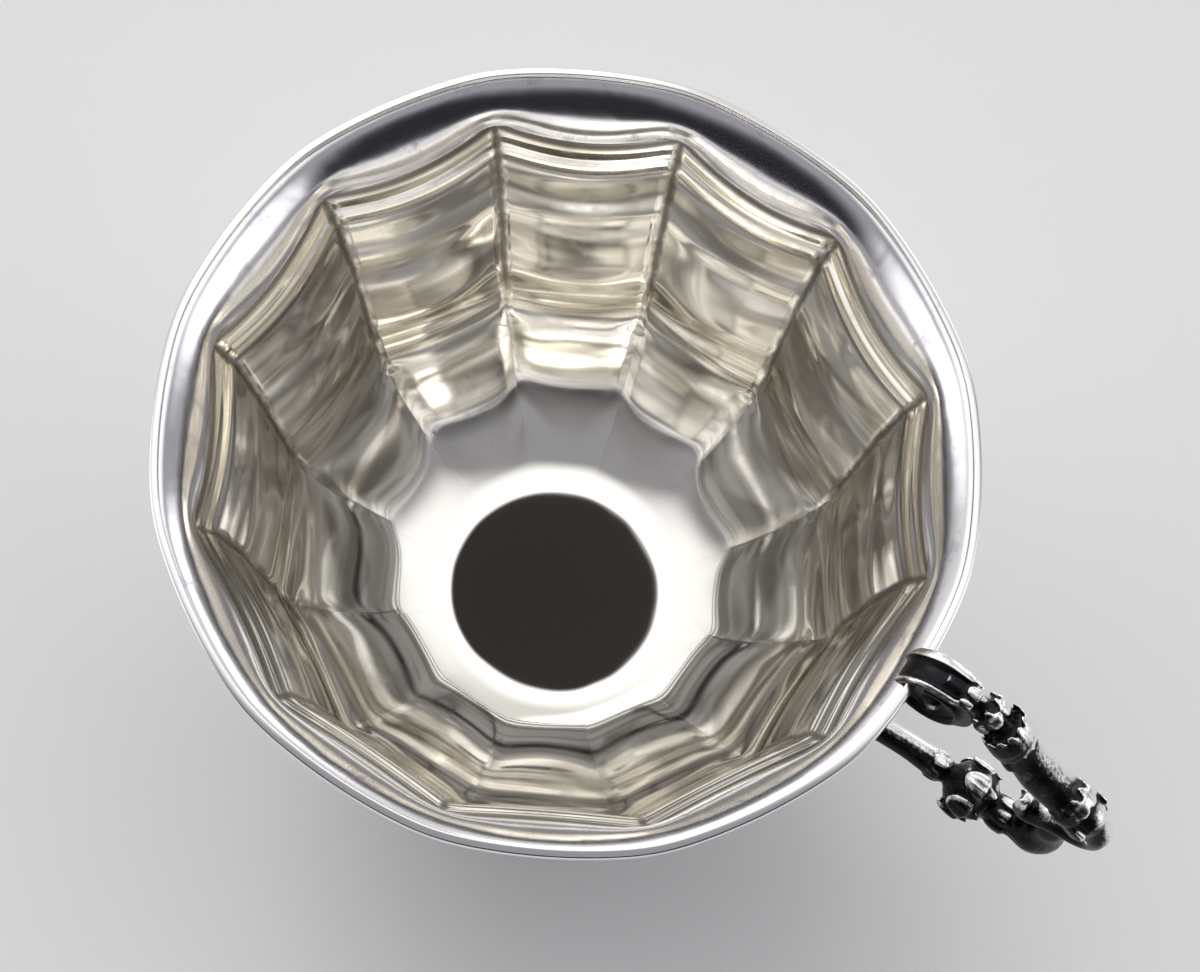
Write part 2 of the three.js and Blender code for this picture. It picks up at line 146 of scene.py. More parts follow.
def pick(wanted):
    """Selects the points of the mesh in edit mode for which wanted(point) is true."""
    mesh = open_mesh()
    for point in mesh.verts:
        point.select = wanted(point)
    mesh.select_flush_mode()
    bmesh.update_edit_mesh(bpy.context.object.data)


def turn_faces_out():
    bpy.ops.mesh.select_all(action="SELECT")
    bpy.ops.mesh.normals_make_consistent(inside=False)


def fix_place():
    """Puts an object's place, turn and scale into its mesh."""
    bpy.ops.object.transform_apply(location=True, rotation=True, scale=True)


def apply_modifiers(piece):
    take(piece)
    for modifier in list(piece.modifiers):
        bpy.ops.object.modifier_apply(modifier=modifier.name)


print("mesh helpers ready")

# %% [markdown]
# The bowl is drawn in rings. A ring is one loop of points, and four columns of points make a flute: the
# arris, where two flutes meet, the middle, and one between them on each side. A ring is made by drawing out
# the last one: extrude, then scale and move each kind of column to its own place. That turns the round into
# twelve hollow flutes. `fluting` goes from 0, a round, to 1, a straight chord between arrises. `hollow` is
# how far the middle of the flute lies inside that chord, and `sag` how far it hangs below the arrises, which
# gives the crease under the lip its scallops.

# %% Columns of a flute
FLUTES = 12
COLUMNS = 4 * FLUTES
HALF_FLUTE = math.pi / FLUTES
ARRIS, BESIDE, MIDDLE = range(3)
CHORD = (1.0, math.cos(HALF_FLUTE) / math.cos(HALF_FLUTE / 2), math.cos(HALF_FLUTE))
BOW = (0.0, 0.75, 1.0)


def kind(point):
    """Which kind of column a point belongs to."""
    turn = math.atan2(point.co.y - AXIS.y, point.co.x - AXIS.x) - HALF_FLUTE
    column = round(turn / (2 * math.pi / COLUMNS)) % 4
    return min(column, 4 - column)


def flute_point(station, which):
    """Radius and height of a column of a station (radius on an arris, height, fluting, hollow, sag)."""
    radius, height, fluting, hollow, sag = station
    reach = radius * (1 + fluting * (CHORD[which] - 1)) - fluting * hollow * BOW[which]
    return reach, height - sag * BOW[which]


print(COLUMNS, "columns of points in", FLUTES, "flutes")

# %% Draw fluted rings


def last_ring(kinds=(ARRIS, BESIDE, MIDDLE)):
    mesh = open_mesh()
    mesh.verts.ensure_lookup_table()
    for point in mesh.verts:
        point.select = False
    for point in mesh.verts[-COLUMNS:]:
        point.select = kind(point) in kinds
    mesh.select_flush_mode()


def draw_rings(name, stations):
    """A skin over rings, given from one end to the other, all lengths in mm."""
    deselect()
    last = (stations[0][0], stations[0][1], 0, 0, 0)
    bpy.ops.mesh.primitive_circle_add(
        vertices=COLUMNS, radius=last[0] * MM, location=(AXIS.x, 0, last[1] * MM)
    )
    piece = bpy.context.object
    piece.name = name
    fix_place()
    edit()
    for i, station in enumerate(stations):
        if i:
            bpy.ops.mesh.extrude_region_move(TRANSFORM_OT_translate={"value": (0, 0, 0)})
        for which in (ARRIS, BESIDE, MIDDLE):
            last_ring((which,))
            (old_reach, old_height), (reach, height) = flute_point(last, which), flute_point(station, which)
            wider = reach / old_reach
            bpy.ops.transform.resize(value=(wider, wider, 1), center_override=AXIS)
            bpy.ops.transform.translate(value=(0, 0, (height - old_height) * MM))
        last_ring()
        last = station
    return piece


print("ring helpers ready")

# %% [markdown]
# ## The bowl
# A smith raises the bowl from one sheet. Its inside is what the photograph shows, so its line is set first:
# the flared lip, the neck band with its two soft reeds, the flutes, and the curve into the floor. Most parts
# of the line are Bezier curves, which bend as evenly as hammered sheet does. The lip goes from nearly round
# at the rim to full flutes at the crease under it.

# %% Line of the lip and the neck
RIM = RIM_TOP / MM
LIP_EDGE = (39.05, RIM - 0.9)
CREASE_RADIUS, CREASE_DEPTH = 36.5, 5
NECK_DEPTH = 8.5
NECK_SLOPE = 0.5714
RIM_FLUTING = 0.3
HOLLOW = 0.65
SAG = 1.9
LIP_STEPS = 7


def eased(share):
    """Goes softly from 0 to 1 while share does so evenly."""
    share = max(0, share)
    return share * share * (3 - 2 * share)


def curve(start, pull_out, pull_in, end, count):
    """Points of a Bezier curve in the bowl's half section, without its first."""
    corners = [Vector((r, z, 0)) for r, z in (start, pull_out, pull_in, end)]
    points = geometry.interpolate_bezier(*corners, count + 1)
    return [(p.x, p.y) for p in points[1:]]


lip_curve = [LIP_EDGE] + curve(
    LIP_EDGE, (37.2, RIM - 2.2), (36.6, RIM - 3.0), (CREASE_RADIUS, RIM - CREASE_DEPTH), LIP_STEPS
)
lip = []
for i, (r, z) in enumerate(lip_curve):
    t = i / LIP_STEPS
    lip.append((r, z, RIM_FLUTING + (1 - RIM_FLUTING) * eased(t), HOLLOW * t, SAG * eased(t)))

REEDS = (
    (5.4, 0.03), (5.9, 0.06), (6.4, 0.03), (6.8, -0.03), (7.2, 0.03), (7.7, 0.07), (8.15, 0.04),
    (NECK_DEPTH, 0),
)
neck = []
for depth, ridge in REEDS:
    radius = CREASE_RADIUS - (depth - CREASE_DEPTH) * NECK_SLOPE - ridge
    neck.append((radius, RIM - depth, 1, HOLLOW, SAG))
print("lip to depth", round(RIM - lip[-1][1], 2), "mm, neck to", round(RIM - neck[-1][1], 2), "mm")

# %% [markdown]
# Hammering leaves long, shallow waves down the wall, a tenth of a millimetre deep. They are added to the
# curve's radius from a table by depth. Towards the floor the flutes die away into a round.

# %% Line of the wall and the floor
WALL_STEPS, BOTTOM_STEPS = 17, 18
WALL_END = (30.4, RIM - 27)
INSIDE_DEPTH = 44.7
FLOOR = RIM - INSIDE_DEPTH
FLAT_RADIUS = 10.9
LESS_HOLLOW, LESS_SAG = 0.15, 0.9
FLUTES_FADE, SAG_FADE = 0.45, 1.6
WAVES = (
    (8.5, 0), (12, 0.1), (15.5, -0.06), (20, 0.1), (26, -0.08), (31, 0.08), (37, -0.06), (45, 0),
)


def between(table, t):
    """The values at t of a table of (t, values...), easing from row to row."""
    for a, b in zip(table, table[1:]):
        if t <= b[0]:
            share = eased((t - a[0]) / (b[0] - a[0]))
            return [p + (q - p) * share for p, q in zip(a[1:], b[1:])]
    return table[-1][1:]


wall_curve = curve((34.5, RIM - NECK_DEPTH), (33.1, RIM - 12.8), (31.8, RIM - 19.0), WALL_END, WALL_STEPS)
wall = []
for i, (r, z) in enumerate(wall_curve):
    t = (i + 1) / WALL_STEPS
    r += between(WAVES, RIM - z)[0]
    wall.append((r, z, 1, HOLLOW - LESS_HOLLOW * t, SAG - LESS_SAG * t))

bottom_curve = curve(WALL_END, (29.87, 16.05), (19.9, FLOOR), (FLAT_RADIUS, FLOOR), BOTTOM_STEPS)
bottom = []
for i, (r, z) in enumerate(bottom_curve):
    t = (i + 1) / BOTTOM_STEPS
    r += between(WAVES, RIM - z)[0]
    fluting = 1 - eased((t - FLUTES_FADE) / (1 - FLUTES_FADE))
    bottom.append((r, z, fluting, (HOLLOW - LESS_HOLLOW) * (1 - t), max(0, 1 - SAG_FADE * t)))

floor = [(r, FLOOR - dip, 0, 0, 0) for r, dip in ((7.3, 0.1), (4, 0.15), (1, 0.16))]
inside = lip + neck + wall + bottom + floor
print(len(inside), "stations inside")

# %% [markdown]
# The sheet has one thickness everywhere, so the outside is the inside's line pushed out by it, square to the
# line. Every second or third station is enough there, and the ones at the crease's corner are left out,
# because a corner is rounder on the far side of a sheet. The outside runs from its middle up to the rim and
# the inside back down, in one skin, and the small holes left in both middles are drawn together.

# %% Push the line out by the sheet and draw the bowl
SHEET = 0.7
HUB = floor[-1][0] + 0.1


def pushed_out(stations, distance):
    """Moves stations out, square to their line. The first moves level, as the lip's edge is cut level."""
    moved = []
    for i, (r, z, *fluting) in enumerate(stations):
        before = stations[max(i - 1, 0)]
        after = stations[min(i + 1, len(stations) - 1)]
        along = Vector((after[0] - before[0], after[1] - before[1])).normalized()
        if i == 0:
            moved.append((r - distance / along.y, z, *fluting))
        else:
            moved.append((r - along.y * distance, z + along.x * distance, *fluting))
    return moved


outside = pushed_out(lip[::2] + neck[2::2] + wall[1::3] + bottom[::2] + floor, SHEET)
bowl = draw_rings("bowl", outside[::-1] + inside)
for height in (outside[-1][1], floor[-1][1]):
    pick(lambda p: abs(p.co.z - height * MM) < 1e-5 and (p.co - AXIS).xy.length < HUB * MM)
    bpy.ops.mesh.merge(type="CENTER")
print("bowl:", len(open_mesh().faces), "faces")

# %% [markdown]
# Subdivision would melt the arrises and the creases under the lip, so those edges are marked first. A crease
# just short of one leaves the small softness that polishing gives a real arris. On the lip the arrises start
# faintly, as the flutes do there.

# %% Crease the arrises and the scalloped lines
ARRISES_END = 33
NEAR_REACH, NEAR_HEIGHT = 0.05, 0.02


def crease(wanted, amount):
    """Marks the edges of the mesh in edit mode for which wanted(one end, other end) is true."""
    bpy.ops.mesh.select_mode(type="EDGE")
    mesh = open_mesh()
    for face in mesh.faces:
        face.select = False
    for edge in mesh.edges:
        edge.select = wanted(*edge.verts)
    count = sum(edge.select for edge in mesh.edges)
    bpy.ops.transform.edge_crease(value=amount)
    bpy.ops.mesh.select_mode(type="VERT")
    print(count, "edges are creased by", amount)


def along_flute(low, high):
    """Chooses the edges that run down an arris between two depths."""
    return lambda a, b: (
        kind(a) == kind(b) == ARRIS
        and abs(a.co.z - b.co.z) > 1e-6
        and low < RIM - max(a.co.z, b.co.z) / MM < high
    )


def on_station(point, station):
    """Whether a point lies on a station's scalloped line."""
    reach, height = flute_point(station, kind(point))
    off = (point.co - AXIS).xy.length / MM - reach
    return abs(off) < NEAR_REACH and abs(point.co.z / MM - height) < NEAR_HEIGHT


crease(along_flute(4.4, ARRISES_END), 0.8)
crease(along_flute(2.5, 4.4), 0.15)
for station, amount in ((lip[-1], 0.8), (neck[-1], 0.25)):
    crease(lambda a, b: on_station(a, station) and on_station(b, station), amount)
turn_faces_out()

# %% [markdown]
# The bowl carries three finishes: gilt inside, polished silver on the lip, and hand-finished silver outside.
# Each is a material slot, and the faces go to their slots now, on the plain cage, because subdivision keeps
# them. A face belongs to the inside if it looks towards a point above the mouth, and to the lip if all its
# corners lie above the crease.

# %% Sort the bowl's faces into gilt, lip and outside
ABOVE_MOUTH = at_depth(-60)
GILT_SLOT, LIP_SLOT, OUTSIDE_SLOT = range(3)
LEVELS = 2


def finish_of(face):
    if face.normal.dot(ABOVE_MOUTH - face.calc_center_median()) < 0:
        return OUTSIDE_SLOT
    crease_height = RIM - CREASE_DEPTH - NEAR_HEIGHT
    on_lip = all(point.co.z / MM > crease_height - SAG * BOW[kind(point)] for point in face.verts)
    return LIP_SLOT if on_lip else GILT_SLOT


def subdivide(piece):
    leave_edit()
    modifier = piece.modifiers.new("smooth", "SUBSURF")
    modifier.levels = LEVELS
    modifier.render_levels = LEVELS
    apply_modifiers(piece)
    bpy.ops.object.shade_smooth()
    print(piece.name, len(piece.data.polygons), "faces")


bpy.ops.mesh.select_mode(type="FACE")
for slot in (GILT_SLOT, LIP_SLOT, OUTSIDE_SLOT):
    bpy.ops.object.material_slot_add()
for slot in (LIP_SLOT, OUTSIDE_SLOT):
    mesh = open_mesh()
    for face in mesh.faces:
        face.select = finish_of(face) == slot
    bowl.active_material_index = slot
    bpy.ops.object.material_slot_assign()
    print("slot", slot, "takes", sum(face.select for face in mesh.faces), "faces")
bpy.ops.mesh.select_mode(type="VERT")
subdivide(bowl)

# %% [markdown]
# ## The rim wire
# A D-shaped wire is soldered flat on the lip's edge to stiffen it. It follows the same softly fluted mouth,
# so it is drawn with the same rings, from its inner foot over the top to its outer foot, and then closed: the
# last loop of points is bridged to the first.

# %% Rim wire


def closed_ring(name, stations):
    piece = draw_rings(name, stations)
    bpy.ops.mesh.select_mode(type="EDGE")
    mesh = open_mesh()
    for edge in mesh.edges:
        edge.select = edge.is_boundary
    bpy.ops.mesh.bridge_edge_loops()
    bpy.ops.mesh.select_mode(type="VERT")
    turn_faces_out()
    subdivide(piece)
    return piece


RIM_SECTION = (
    (39.2, -0.9), (39.06, -0.8), (39.02, -0.5), (39.05, -0.12), (39.14, 0.0), (39.3, -0.01),
    (39.75, -0.14), (39.93, -0.27), (40.0, -0.5), (40.0, -0.78), (39.88, -0.9),
)
rim_bead = closed_ring("rim_bead", [(r, RIM + z, RIM_FLUTING, 0, 0) for r, z in RIM_SECTION])

# %% [markdown]
# An old cup is never quite round. This one has been pressed a little, so the bowl and its wire are stretched
# by a hundredth along one line across the mouth and drawn in across it. The mesh is turned until that line
# lies along X, scaled, and turned back.

# %% Press the bowl out of round
PRESSED_ALONG = math.radians(142)
LONGER, NARROWER = 1.012, 0.99
for piece in (bowl, rim_bead):
    take(piece)
    edit()
    bpy.ops.transform.rotate(value=PRESSED_ALONG, orient_axis="Z", center_override=AXIS)
    bpy.ops.transform.resize(value=(LONGER, NARROWER, 1), center_override=AXIS)
    bpy.ops.transform.rotate(value=-PRESSED_ALONG, orient_axis="Z", center_override=AXIS)
    leave_edit()
far_point = max((point.co - AXIS for point in rim_bead.data.vertices), key=lambda reach: reach.xy.length)
print("rim now widest at", round(math.degrees(math.atan2(far_point.y, far_point.x))), "degrees")

# %% [markdown]
# ## The foot
# The foot is a spreading cone of thin sheet with a flat brim, soldered under the bowl, and it stands on a
# thicker wire. Neither is fluted, so the same rings are drawn with no fluting at all. The cone's line goes up
# its outside, over the land that is soldered to the bowl, and down its inside.

# %% Foot and foot wire
foot_section = [(20.9, 1.32), (20.9, 1.9), (20.75, 2.18), (19.9, 2.2), (19.6, 2.34), (19.2, 2.36)]
foot_section += curve((19.0, 2.22), (16.6, 2.6), (11.62, 3.1), (11.62, 6.0), 9)
foot_section += [(11.95, 6.15), (11.95, 6.38), (11.6, 6.5), (9.1, 6.5), (9.1, 5.62), (10.68, 5.6)]
foot_section += curve((10.7, 5.6), (10.7, 2.34), (16.25, 1.4), (19.7, 1.32), 7)
foot = closed_ring("foot", [(r, z, 0, 0, 0) for r, z in foot_section])

FOOT_WIRE_SECTION = (
    (19.8, 0.02), (19.8, 1.28), (20.6, 1.3), (21.4, 1.28), (21.85, 1.0), (22.0, 0.65), (21.85, 0.3),
    (21.4, 0.02), (20.6, 0.0),
)
foot_bead = closed_ring("foot_bead", [(r, z, 0, 0, 0) for r, z in FOOT_WIRE_SECTION])

# %% [markdown]
# ## The handle
# Both handle pieces are castings. A founder models them in wax from bars, curls and leaves pressed together,
# and that is how they are made here. A bar follows a line in the plane of the handle. A curl is a spiral, a
# line with corners is rounded by cutting its corners off again and again, and a long line is walked in even
# steps, so that a bar has points of one size all along.

# %% Draw lines in the handle's plane


def place(x, z, y=0.0):
    """A point of the handle, in mm from the bowl's axis, in metres in the shared frame."""
    return Vector((AXIS.x + x * MM, y * MM, z * MM))


def spiral(centre, from_angle, to_angle, from_radius, to_radius, count):
    points = []
    for i in range(count + 1):
        t = i / count
        turn = math.radians(from_angle + (to_angle - from_angle) * t)
        reach = from_radius + (to_radius - from_radius) * t
        points.append((centre[0] + reach * math.cos(turn), centre[1] + reach * math.sin(turn)))
    return points


def softened(points, times=3):
    """Cuts the corners of a line, which rounds it evenly."""
    for _ in range(times):
        cut = [points[0]]
        for a, b in zip(points, points[1:]):
            cut.append(tuple(0.75 * p + 0.25 * q for p, q in zip(a, b)))
            cut.append(tuple(0.25 * p + 0.75 * q for p, q in zip(a, b)))
        points = cut + [points[-1]]
    return points


def walk(points, step):
    """Even steps along a line: points about one step apart."""
    lengths = [0.0]
    for a, b in zip(points, points[1:]):
        lengths.append(lengths[-1] + math.dist(a, b))
    count = max(2, round(lengths[-1] / step))
    steps, k = [], 0
    for i in range(count + 1):
        goal = lengths[-1] * i / count
        while k < len(points) - 2 and lengths[k + 1] < goal:
            k += 1
        share = (goal - lengths[k]) / max(1e-9, lengths[k + 1] - lengths[k])
        a, b = points[k], points[k + 1]
        steps.append(tuple(p + (q - p) * share for p, q in zip(a, b)))
    return steps


print("line helpers ready")

# %% [markdown]
# The scroll's line starts in the eye of the upper volute, curls out to the crest, bends down the grip to the
# heel, and curls in again as the lower volute. The bend of the grip is given in shares of the way from crest
# to heel. The arm's line runs from the bowl's wall up to the lower volute. All are in mm, across from the
# bowl's axis and up from the table.

# %% Lines of the scroll and the arm
VOLUTE = (41.64, 49.25)
curl = spiral(VOLUTE, from_angle=486, to_angle=90, from_radius=1.9, to_radius=4.2, count=40)
crest = curl[-1]
heel = (61.3, 39.0)
hook_curl = [
    heel, (61.1, 37.4), (60.1, 36.3), (58.6, 35.8), (56.9, 35.3), (55.5, 34.1), (54.3, 33.7),
    (53.7, 34.9), (53.8, 36.6),
]
GRIP_BEND = (
    (0.12, 0.02), (0.22, 0.09), (0.36, 0.215), (0.49, 0.43), (0.645, 0.61), (0.8, 0.72),
    (0.93, 0.82), (0.99, 0.92),
)
grip = [
    (crest[0] + (heel[0] - crest[0]) * across, crest[1] + (heel[1] - crest[1]) * down)
    for across, down in GRIP_BEND
]
strip_line = softened(curl + grip[:1], 1)
stem_line = softened([crest] + grip + hook_curl[:1])
hook_line = softened([grip[-2], grip[-1]] + hook_curl, 1)
arm_line = softened(
    [
        (30.6, 26.5), (35.6, 28.9), (40.1, 30.1), (45.0, 29.9), (49.0, 28.9), (52.2, 27.9), (55.2, 28.0),
        (57.5, 29.5), (57.5, 33.0), (57.3, 35.2),
    ]
)
print("the handle's crest is at", [round(v, 2) for v in crest], "and its heel at", heel)

# %% [markdown]
# A bar is drawn out along its line: a disc of wax is extruded a step, turned to face the way the line goes,
# and scaled to the bar's size there, and so on to the line's end. That gives the swellings, rings and knobs
# of a cast bar in one go. A volute's band has a channel down its outer side, which is pushed in on the first
# disc, so that all later ones carry it along.

# %% Draw a bar along a line
BAR_STEP = 0.35
CHANNEL_FROM, CHANNEL_HALF = 0.1, 0.27


def draw_bar(name, points, sizes, sides=16, channel=0.0, channel_shift=0.0):
    """A bar in the plane y = 0. sizes: (share run, thickness, width) in mm. A channel is sunk in its
    outer side, as a share of the thickness, and shifted by a share of the width."""
    line = walk(points, BAR_STEP)
    last = len(line) - 1
    leans = []
    for i in range(last + 1):
        a, b = line[max(i - 1, 0)], line[min(i + 1, last)]
        leans.append(math.atan2(b[0] - a[0], b[1] - a[1]))
    start = place(*line[0])
    thick, wide = between(sizes, 0)
    deselect()
    bpy.ops.mesh.primitive_circle_add(
        vertices=sides, radius=0.5 * MM, fill_type="NGON", location=start, rotation=(0, leans[0], 0)
    )
    bar = bpy.context.object
    bar.name = name
    fix_place()
    edit()
    bpy.ops.transform.resize(value=(thick, wide, thick), center_override=start)
    if channel:
        outward = Vector((-math.cos(leans[0]), 0, math.sin(leans[0])))
        pick(
            lambda p: (p.co - start).dot(outward) > CHANNEL_FROM * thick * MM
            and abs(p.co.y - channel_shift * wide * MM) < CHANNEL_HALF * wide * MM
        )
        bpy.ops.transform.translate(value=-outward * channel * thick * MM)
        bpy.ops.mesh.select_all(action="SELECT")
    for i in range(1, last + 1):
        here = place(*line[i])
        move = here - place(*line[i - 1])
        bpy.ops.mesh.extrude_region_move(TRANSFORM_OT_translate={"value": move})
        turned = (leans[i] - leans[i - 1] + math.pi) % (2 * math.pi) - math.pi
        bpy.ops.transform.rotate(value=-turned, orient_axis="Y", center_override=here)
        new_thick, new_wide = between(sizes, i / last)
        grown = (new_thick / thick, new_wide / wide, new_thick / thick)
        bpy.ops.transform.resize(value=grown, center_override=here)
        thick, wide = new_thick, new_wide
    turn_faces_out()
    leave_edit()
    print(name, "is drawn in", last, "steps")
    return bar


print("bar helper ready")

# %% [markdown]
# Three bars make the scroll: the strip that curls up into the upper volute, the stem with its bud, collar and
# knuckle, and the hook that curls into the lower volute.

# %% Bars of the scroll
STRIP_SIZES = ((0, 1.2, 3.2), (0.5, 1.5, 3.8), (0.88, 1.9, 4.0), (0.96, 1.8, 3.8), (1, 1.5, 3.4))
STEM_SIZES = (
    (0, 0.8, 1.4), (0.07, 1.0, 1.6), (0.1, 2.3, 2.5), (0.16, 2.2, 2.4), (0.2, 2.9, 3.2), (0.24, 2.9, 3.2),
    (0.27, 2.5, 2.8), (0.29, 2.8, 3.3), (0.31, 4.1, 4.8), (0.385, 4.3, 4.9), (0.405, 3.3, 3.8),
    (0.43, 3.3, 3.9), (0.58, 3.7, 4.4), (0.7, 3.4, 4.2), (0.725, 3.4, 4.2), (0.745, 4.2, 4.6),
    (0.79, 4.1, 4.5), (0.81, 3.3, 4.2), (0.87, 3.1, 4.0), (0.91, 2.6, 2.9), (1, 2.6, 2.9),
)
HOOK_SIZES = (
    (0, 2.4, 2.6), (0.15, 2.6, 3.1), (0.35, 2.2, 2.7), (0.6, 2.0, 2.6), (0.93, 1.9, 2.5), (1, 1.3, 1.6),
)
strip = draw_bar("strip", strip_line, STRIP_SIZES, sides=28, channel=0.42, channel_shift=-0.1)
stem = draw_bar("stem", stem_line, STEM_SIZES, sides=24)
hook = draw_bar("hook", hook_line, HOOK_SIZES, sides=28, channel=0.3)

# %% [markdown]
# The castings' leaves are small grooved drops. One is modelled from a ball: squeezed to a point at one end
# and creased down its middle. It is then turned so that it lies on a bar, with its length along the bar.

# %% Model a leaf
POINTED, GROOVE_DEPTH = 0.5, 0.07
POINT_FROM = 0.12
GROOVE_HALF, GROOVE_FROM = 0.09, 0.1


def leaf(at, along, outward, length, width, height):
    deselect()
    bpy.ops.mesh.primitive_uv_sphere_add(segments=20, ring_count=14, radius=0.5 * MM)
    drop = bpy.context.object
    edit()
    pick(lambda p: p.co.z > POINT_FROM * MM)
    bpy.ops.transform.resize(value=(POINTED, POINTED, 1), center_override=(0, 0, 0))
    pick(lambda p: abs(p.co.x) < GROOVE_HALF * MM and p.co.y > GROOVE_FROM * MM)
    bpy.ops.transform.translate(value=(0, -GROOVE_DEPTH * MM, 0))
    leave_edit()
    along = along.normalized()
    outward = (outward - outward.dot(along) * along).normalized()
    side = outward.cross(along)
    turn = Matrix((side * width, outward * height, along * length)).transposed().to_4x4()
    turn.translation = at
    drop.matrix_world = turn
    fix_place()
    return drop


print("leaf helper ready")

# %% [markdown]
# A wreath is a set of leaves round one place of a bar. The scroll has one at its top, one round the bud, one
# that covers the knuckle, a pair under it, one at the collar, and a pair at the heel.

# %% Lay wreaths of leaves on the scroll
LEAF_STEP = 0.2


def wreath(line, share, thick, wide, angles, length, width, height, way):
    """Leaves on a bar's line at one share of its run. Angle 0 is its outer side, 90 faces +Y."""
    steps = walk(line, LEAF_STEP)
    i = max(1, min(len(steps) - 2, round(share * (len(steps) - 1))))
    forward = (place(*steps[i + 1]) - place(*steps[i - 1])).normalized()
    outer = Vector((-forward.z, 0, forward.x))
    leaves = []
    for angle in angles:
        a = math.radians(angle)
        outward = outer * math.cos(a) + Vector((0, math.sin(a), 0))
        reach = outer * (thick / 2 * math.cos(a)) + Vector((0, wide / 2 * math.sin(a), 0))
        leaves.append(leaf(place(*steps[i]) + reach * MM, forward * way, outward, length, width, height))
    return leaves


# Each row: share of the run, the bar's thickness and width there, the leaves' angles, their length, width and
# height, and 1 or -1 for leaves that point forwards or backwards along the bar.
SCROLL_LEAVES = (
    (0.115, 2.0, 2.4, (-75, 0, 75), 2.2, 1.4, 0.8, 1),
    (0.21, 2.9, 3.2, (-150, -90, -30, 30, 90, 150), 2.4, 1.8, 0.9, -1),
    (0.345, 4.0, 4.6, (-160, -125, -90, -60, -30, 0, 30, 60, 90, 125, 160), 3.6, 1.45, 0.5, 1),
    (0.45, 3.2, 3.8, (-125, 125), 3.4, 2.0, 1.0, 1),
    (0.765, 4.0, 4.4, (-100, -60, -20, 20, 60, 100), 2.6, 2.0, 0.6, -1),
    (0.86, 3.1, 4.0, (-100, 100), 3.8, 2.6, 1.1, 1),
)
scroll_wax = [strip, stem, hook]
for row in SCROLL_LEAVES:
    scroll_wax += wreath(stem_line, *row)
print(len(scroll_wax), "wax parts in the scroll")

# %% [markdown]
# The upper volute's curl isn't open: a thin web fills it, with a small eye in its middle. A voxel remesh then
# fuses all the wax parts into one skin with soft inner corners, as warm wax does, and a short smoothing takes
# the steps of the voxels off.

# %% Close the volute and fuse the scroll
VOXEL, SMOOTHING = 0.12, 6


def fused(name, wax):
    deselect()
    for part in wax:
        part.select_set(True)
    bpy.context.view_layer.objects.active = wax[0]
    bpy.ops.object.join()
    piece = bpy.context.object
    piece.name = name
    remesh = piece.modifiers.new("fuse", "REMESH")
    remesh.mode = "VOXEL"
    remesh.voxel_size = VOXEL * MM
    soften = piece.modifiers.new("soften", "SMOOTH")
    soften.factor = 0.5
    soften.iterations = SMOOTHING
    apply_modifiers(piece)
    bpy.ops.object.shade_smooth()
    print(piece.name, len(piece.data.polygons), "faces")
    return piece


deselect()
bpy.ops.mesh.primitive_cylinder_add(
    vertices=48, radius=4.1 * MM, depth=2.2 * MM, location=place(*VOLUTE), rotation=(math.pi / 2, 0, 0)
)
web = bpy.context.object
fix_place()
bpy.ops.mesh.primitive_uv_sphere_add(
    segments=24, ring_count=12, radius=1.3 * MM, location=place(*VOLUTE), scale=(1, 1.55, 1)
)
eye = bpy.context.object
fix_place()
scroll_handle = fused("scroll_handle", scroll_wax + [web, eye])

# %% [markdown]
# The lower arm is one bar. It starts on the bowl's wall, swells to a ribbed knob, and ends in a lobe under
# the lower volute. It is drawn, dressed with leaves and fused in the same way.

# %% Arm
ARM_SIZES = (
    (0, 3.2, 3.2), (0.067, 2.5, 2.5), (0.335, 2.7, 2.7), (0.44, 3.0, 3.0), (0.47, 3.0, 3.0),
    (0.488, 2.3, 2.3), (0.53, 5.0, 5.0), (0.573, 6.3, 6.3), (0.616, 5.2, 5.2), (0.65, 3.2, 3.2),
    (0.717, 3.1, 3.1), (0.8, 4.4, 4.4), (0.93, 3.2, 3.0), (1, 2.0, 2.0),
)
ARM_LEAVES = (
    (0.44, 2.8, 2.8, (-120, -60, 0, 60, 120, 180), 2.4, 1.4, 0.6, -1),
    (0.573, 5.7, 5.7, (-120, -60, 0, 60, 120, 180), 4.0, 2.6, 1.2, 1),
    (0.7, 3.0, 3.0, (-90, -30, 30, 90), 3.4, 1.6, 1.0, 1),
)
arm_wax = [draw_bar("rod", arm_line, ARM_SIZES)]
for row in ARM_LEAVES:
    arm_wax += wreath(arm_line, *row)
bracket = fused("handle_bracket", arm_wax)
castings = (scroll_handle, bracket)

# %% [markdown]
# The real handle doesn't stand quite straight: it leans a little less than a degree round the bowl, as the
# founder soldered it. Both castings are turned together about the bowl's axis.

# %% Set the handle as it was soldered
LEAN = math.radians(0.7)
deselect()
for casting in castings:
    casting.select_set(True)
bpy.ops.transform.rotate(value=LEAN, orient_axis="Z", center_override=AXIS)
fix_place()
for casting in castings:
    middle = sum(corner[1] for corner in casting.bound_box) / 8 / MM
    print(casting.name, "middle now at y", round(middle, 2), "mm")

# %% [markdown]
# Each finished piece takes the place of one node of the imported model, and rides on the cup's one body.

# %% Hand the pieces over
for piece, node, finish in (
    (bowl, "cup_body", "gilt_silver"),
    (rim_bead, "rim_wire", "silver"),
    (foot, "foot_ring", "silver"),
    (foot_bead, "foot_wire", "silver"),
    (scroll_handle, "handle_scroll", "oxidised_silver"),
    (bracket, "handle_arm", "oxidised_silver"),
):
    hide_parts(node)
    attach(piece, "root")
    print(piece.name, "replaces", node)

# %% [markdown]
# ## Finishes
# Every finish is built from nodes that read the place of a point on the cup, so nothing is stretched or
# seamed. Effects that several finishes share are node groups: made once, placed in each material with its
# own values. These helpers add one node each, and join what they are given.

# %% Nodes for numbers


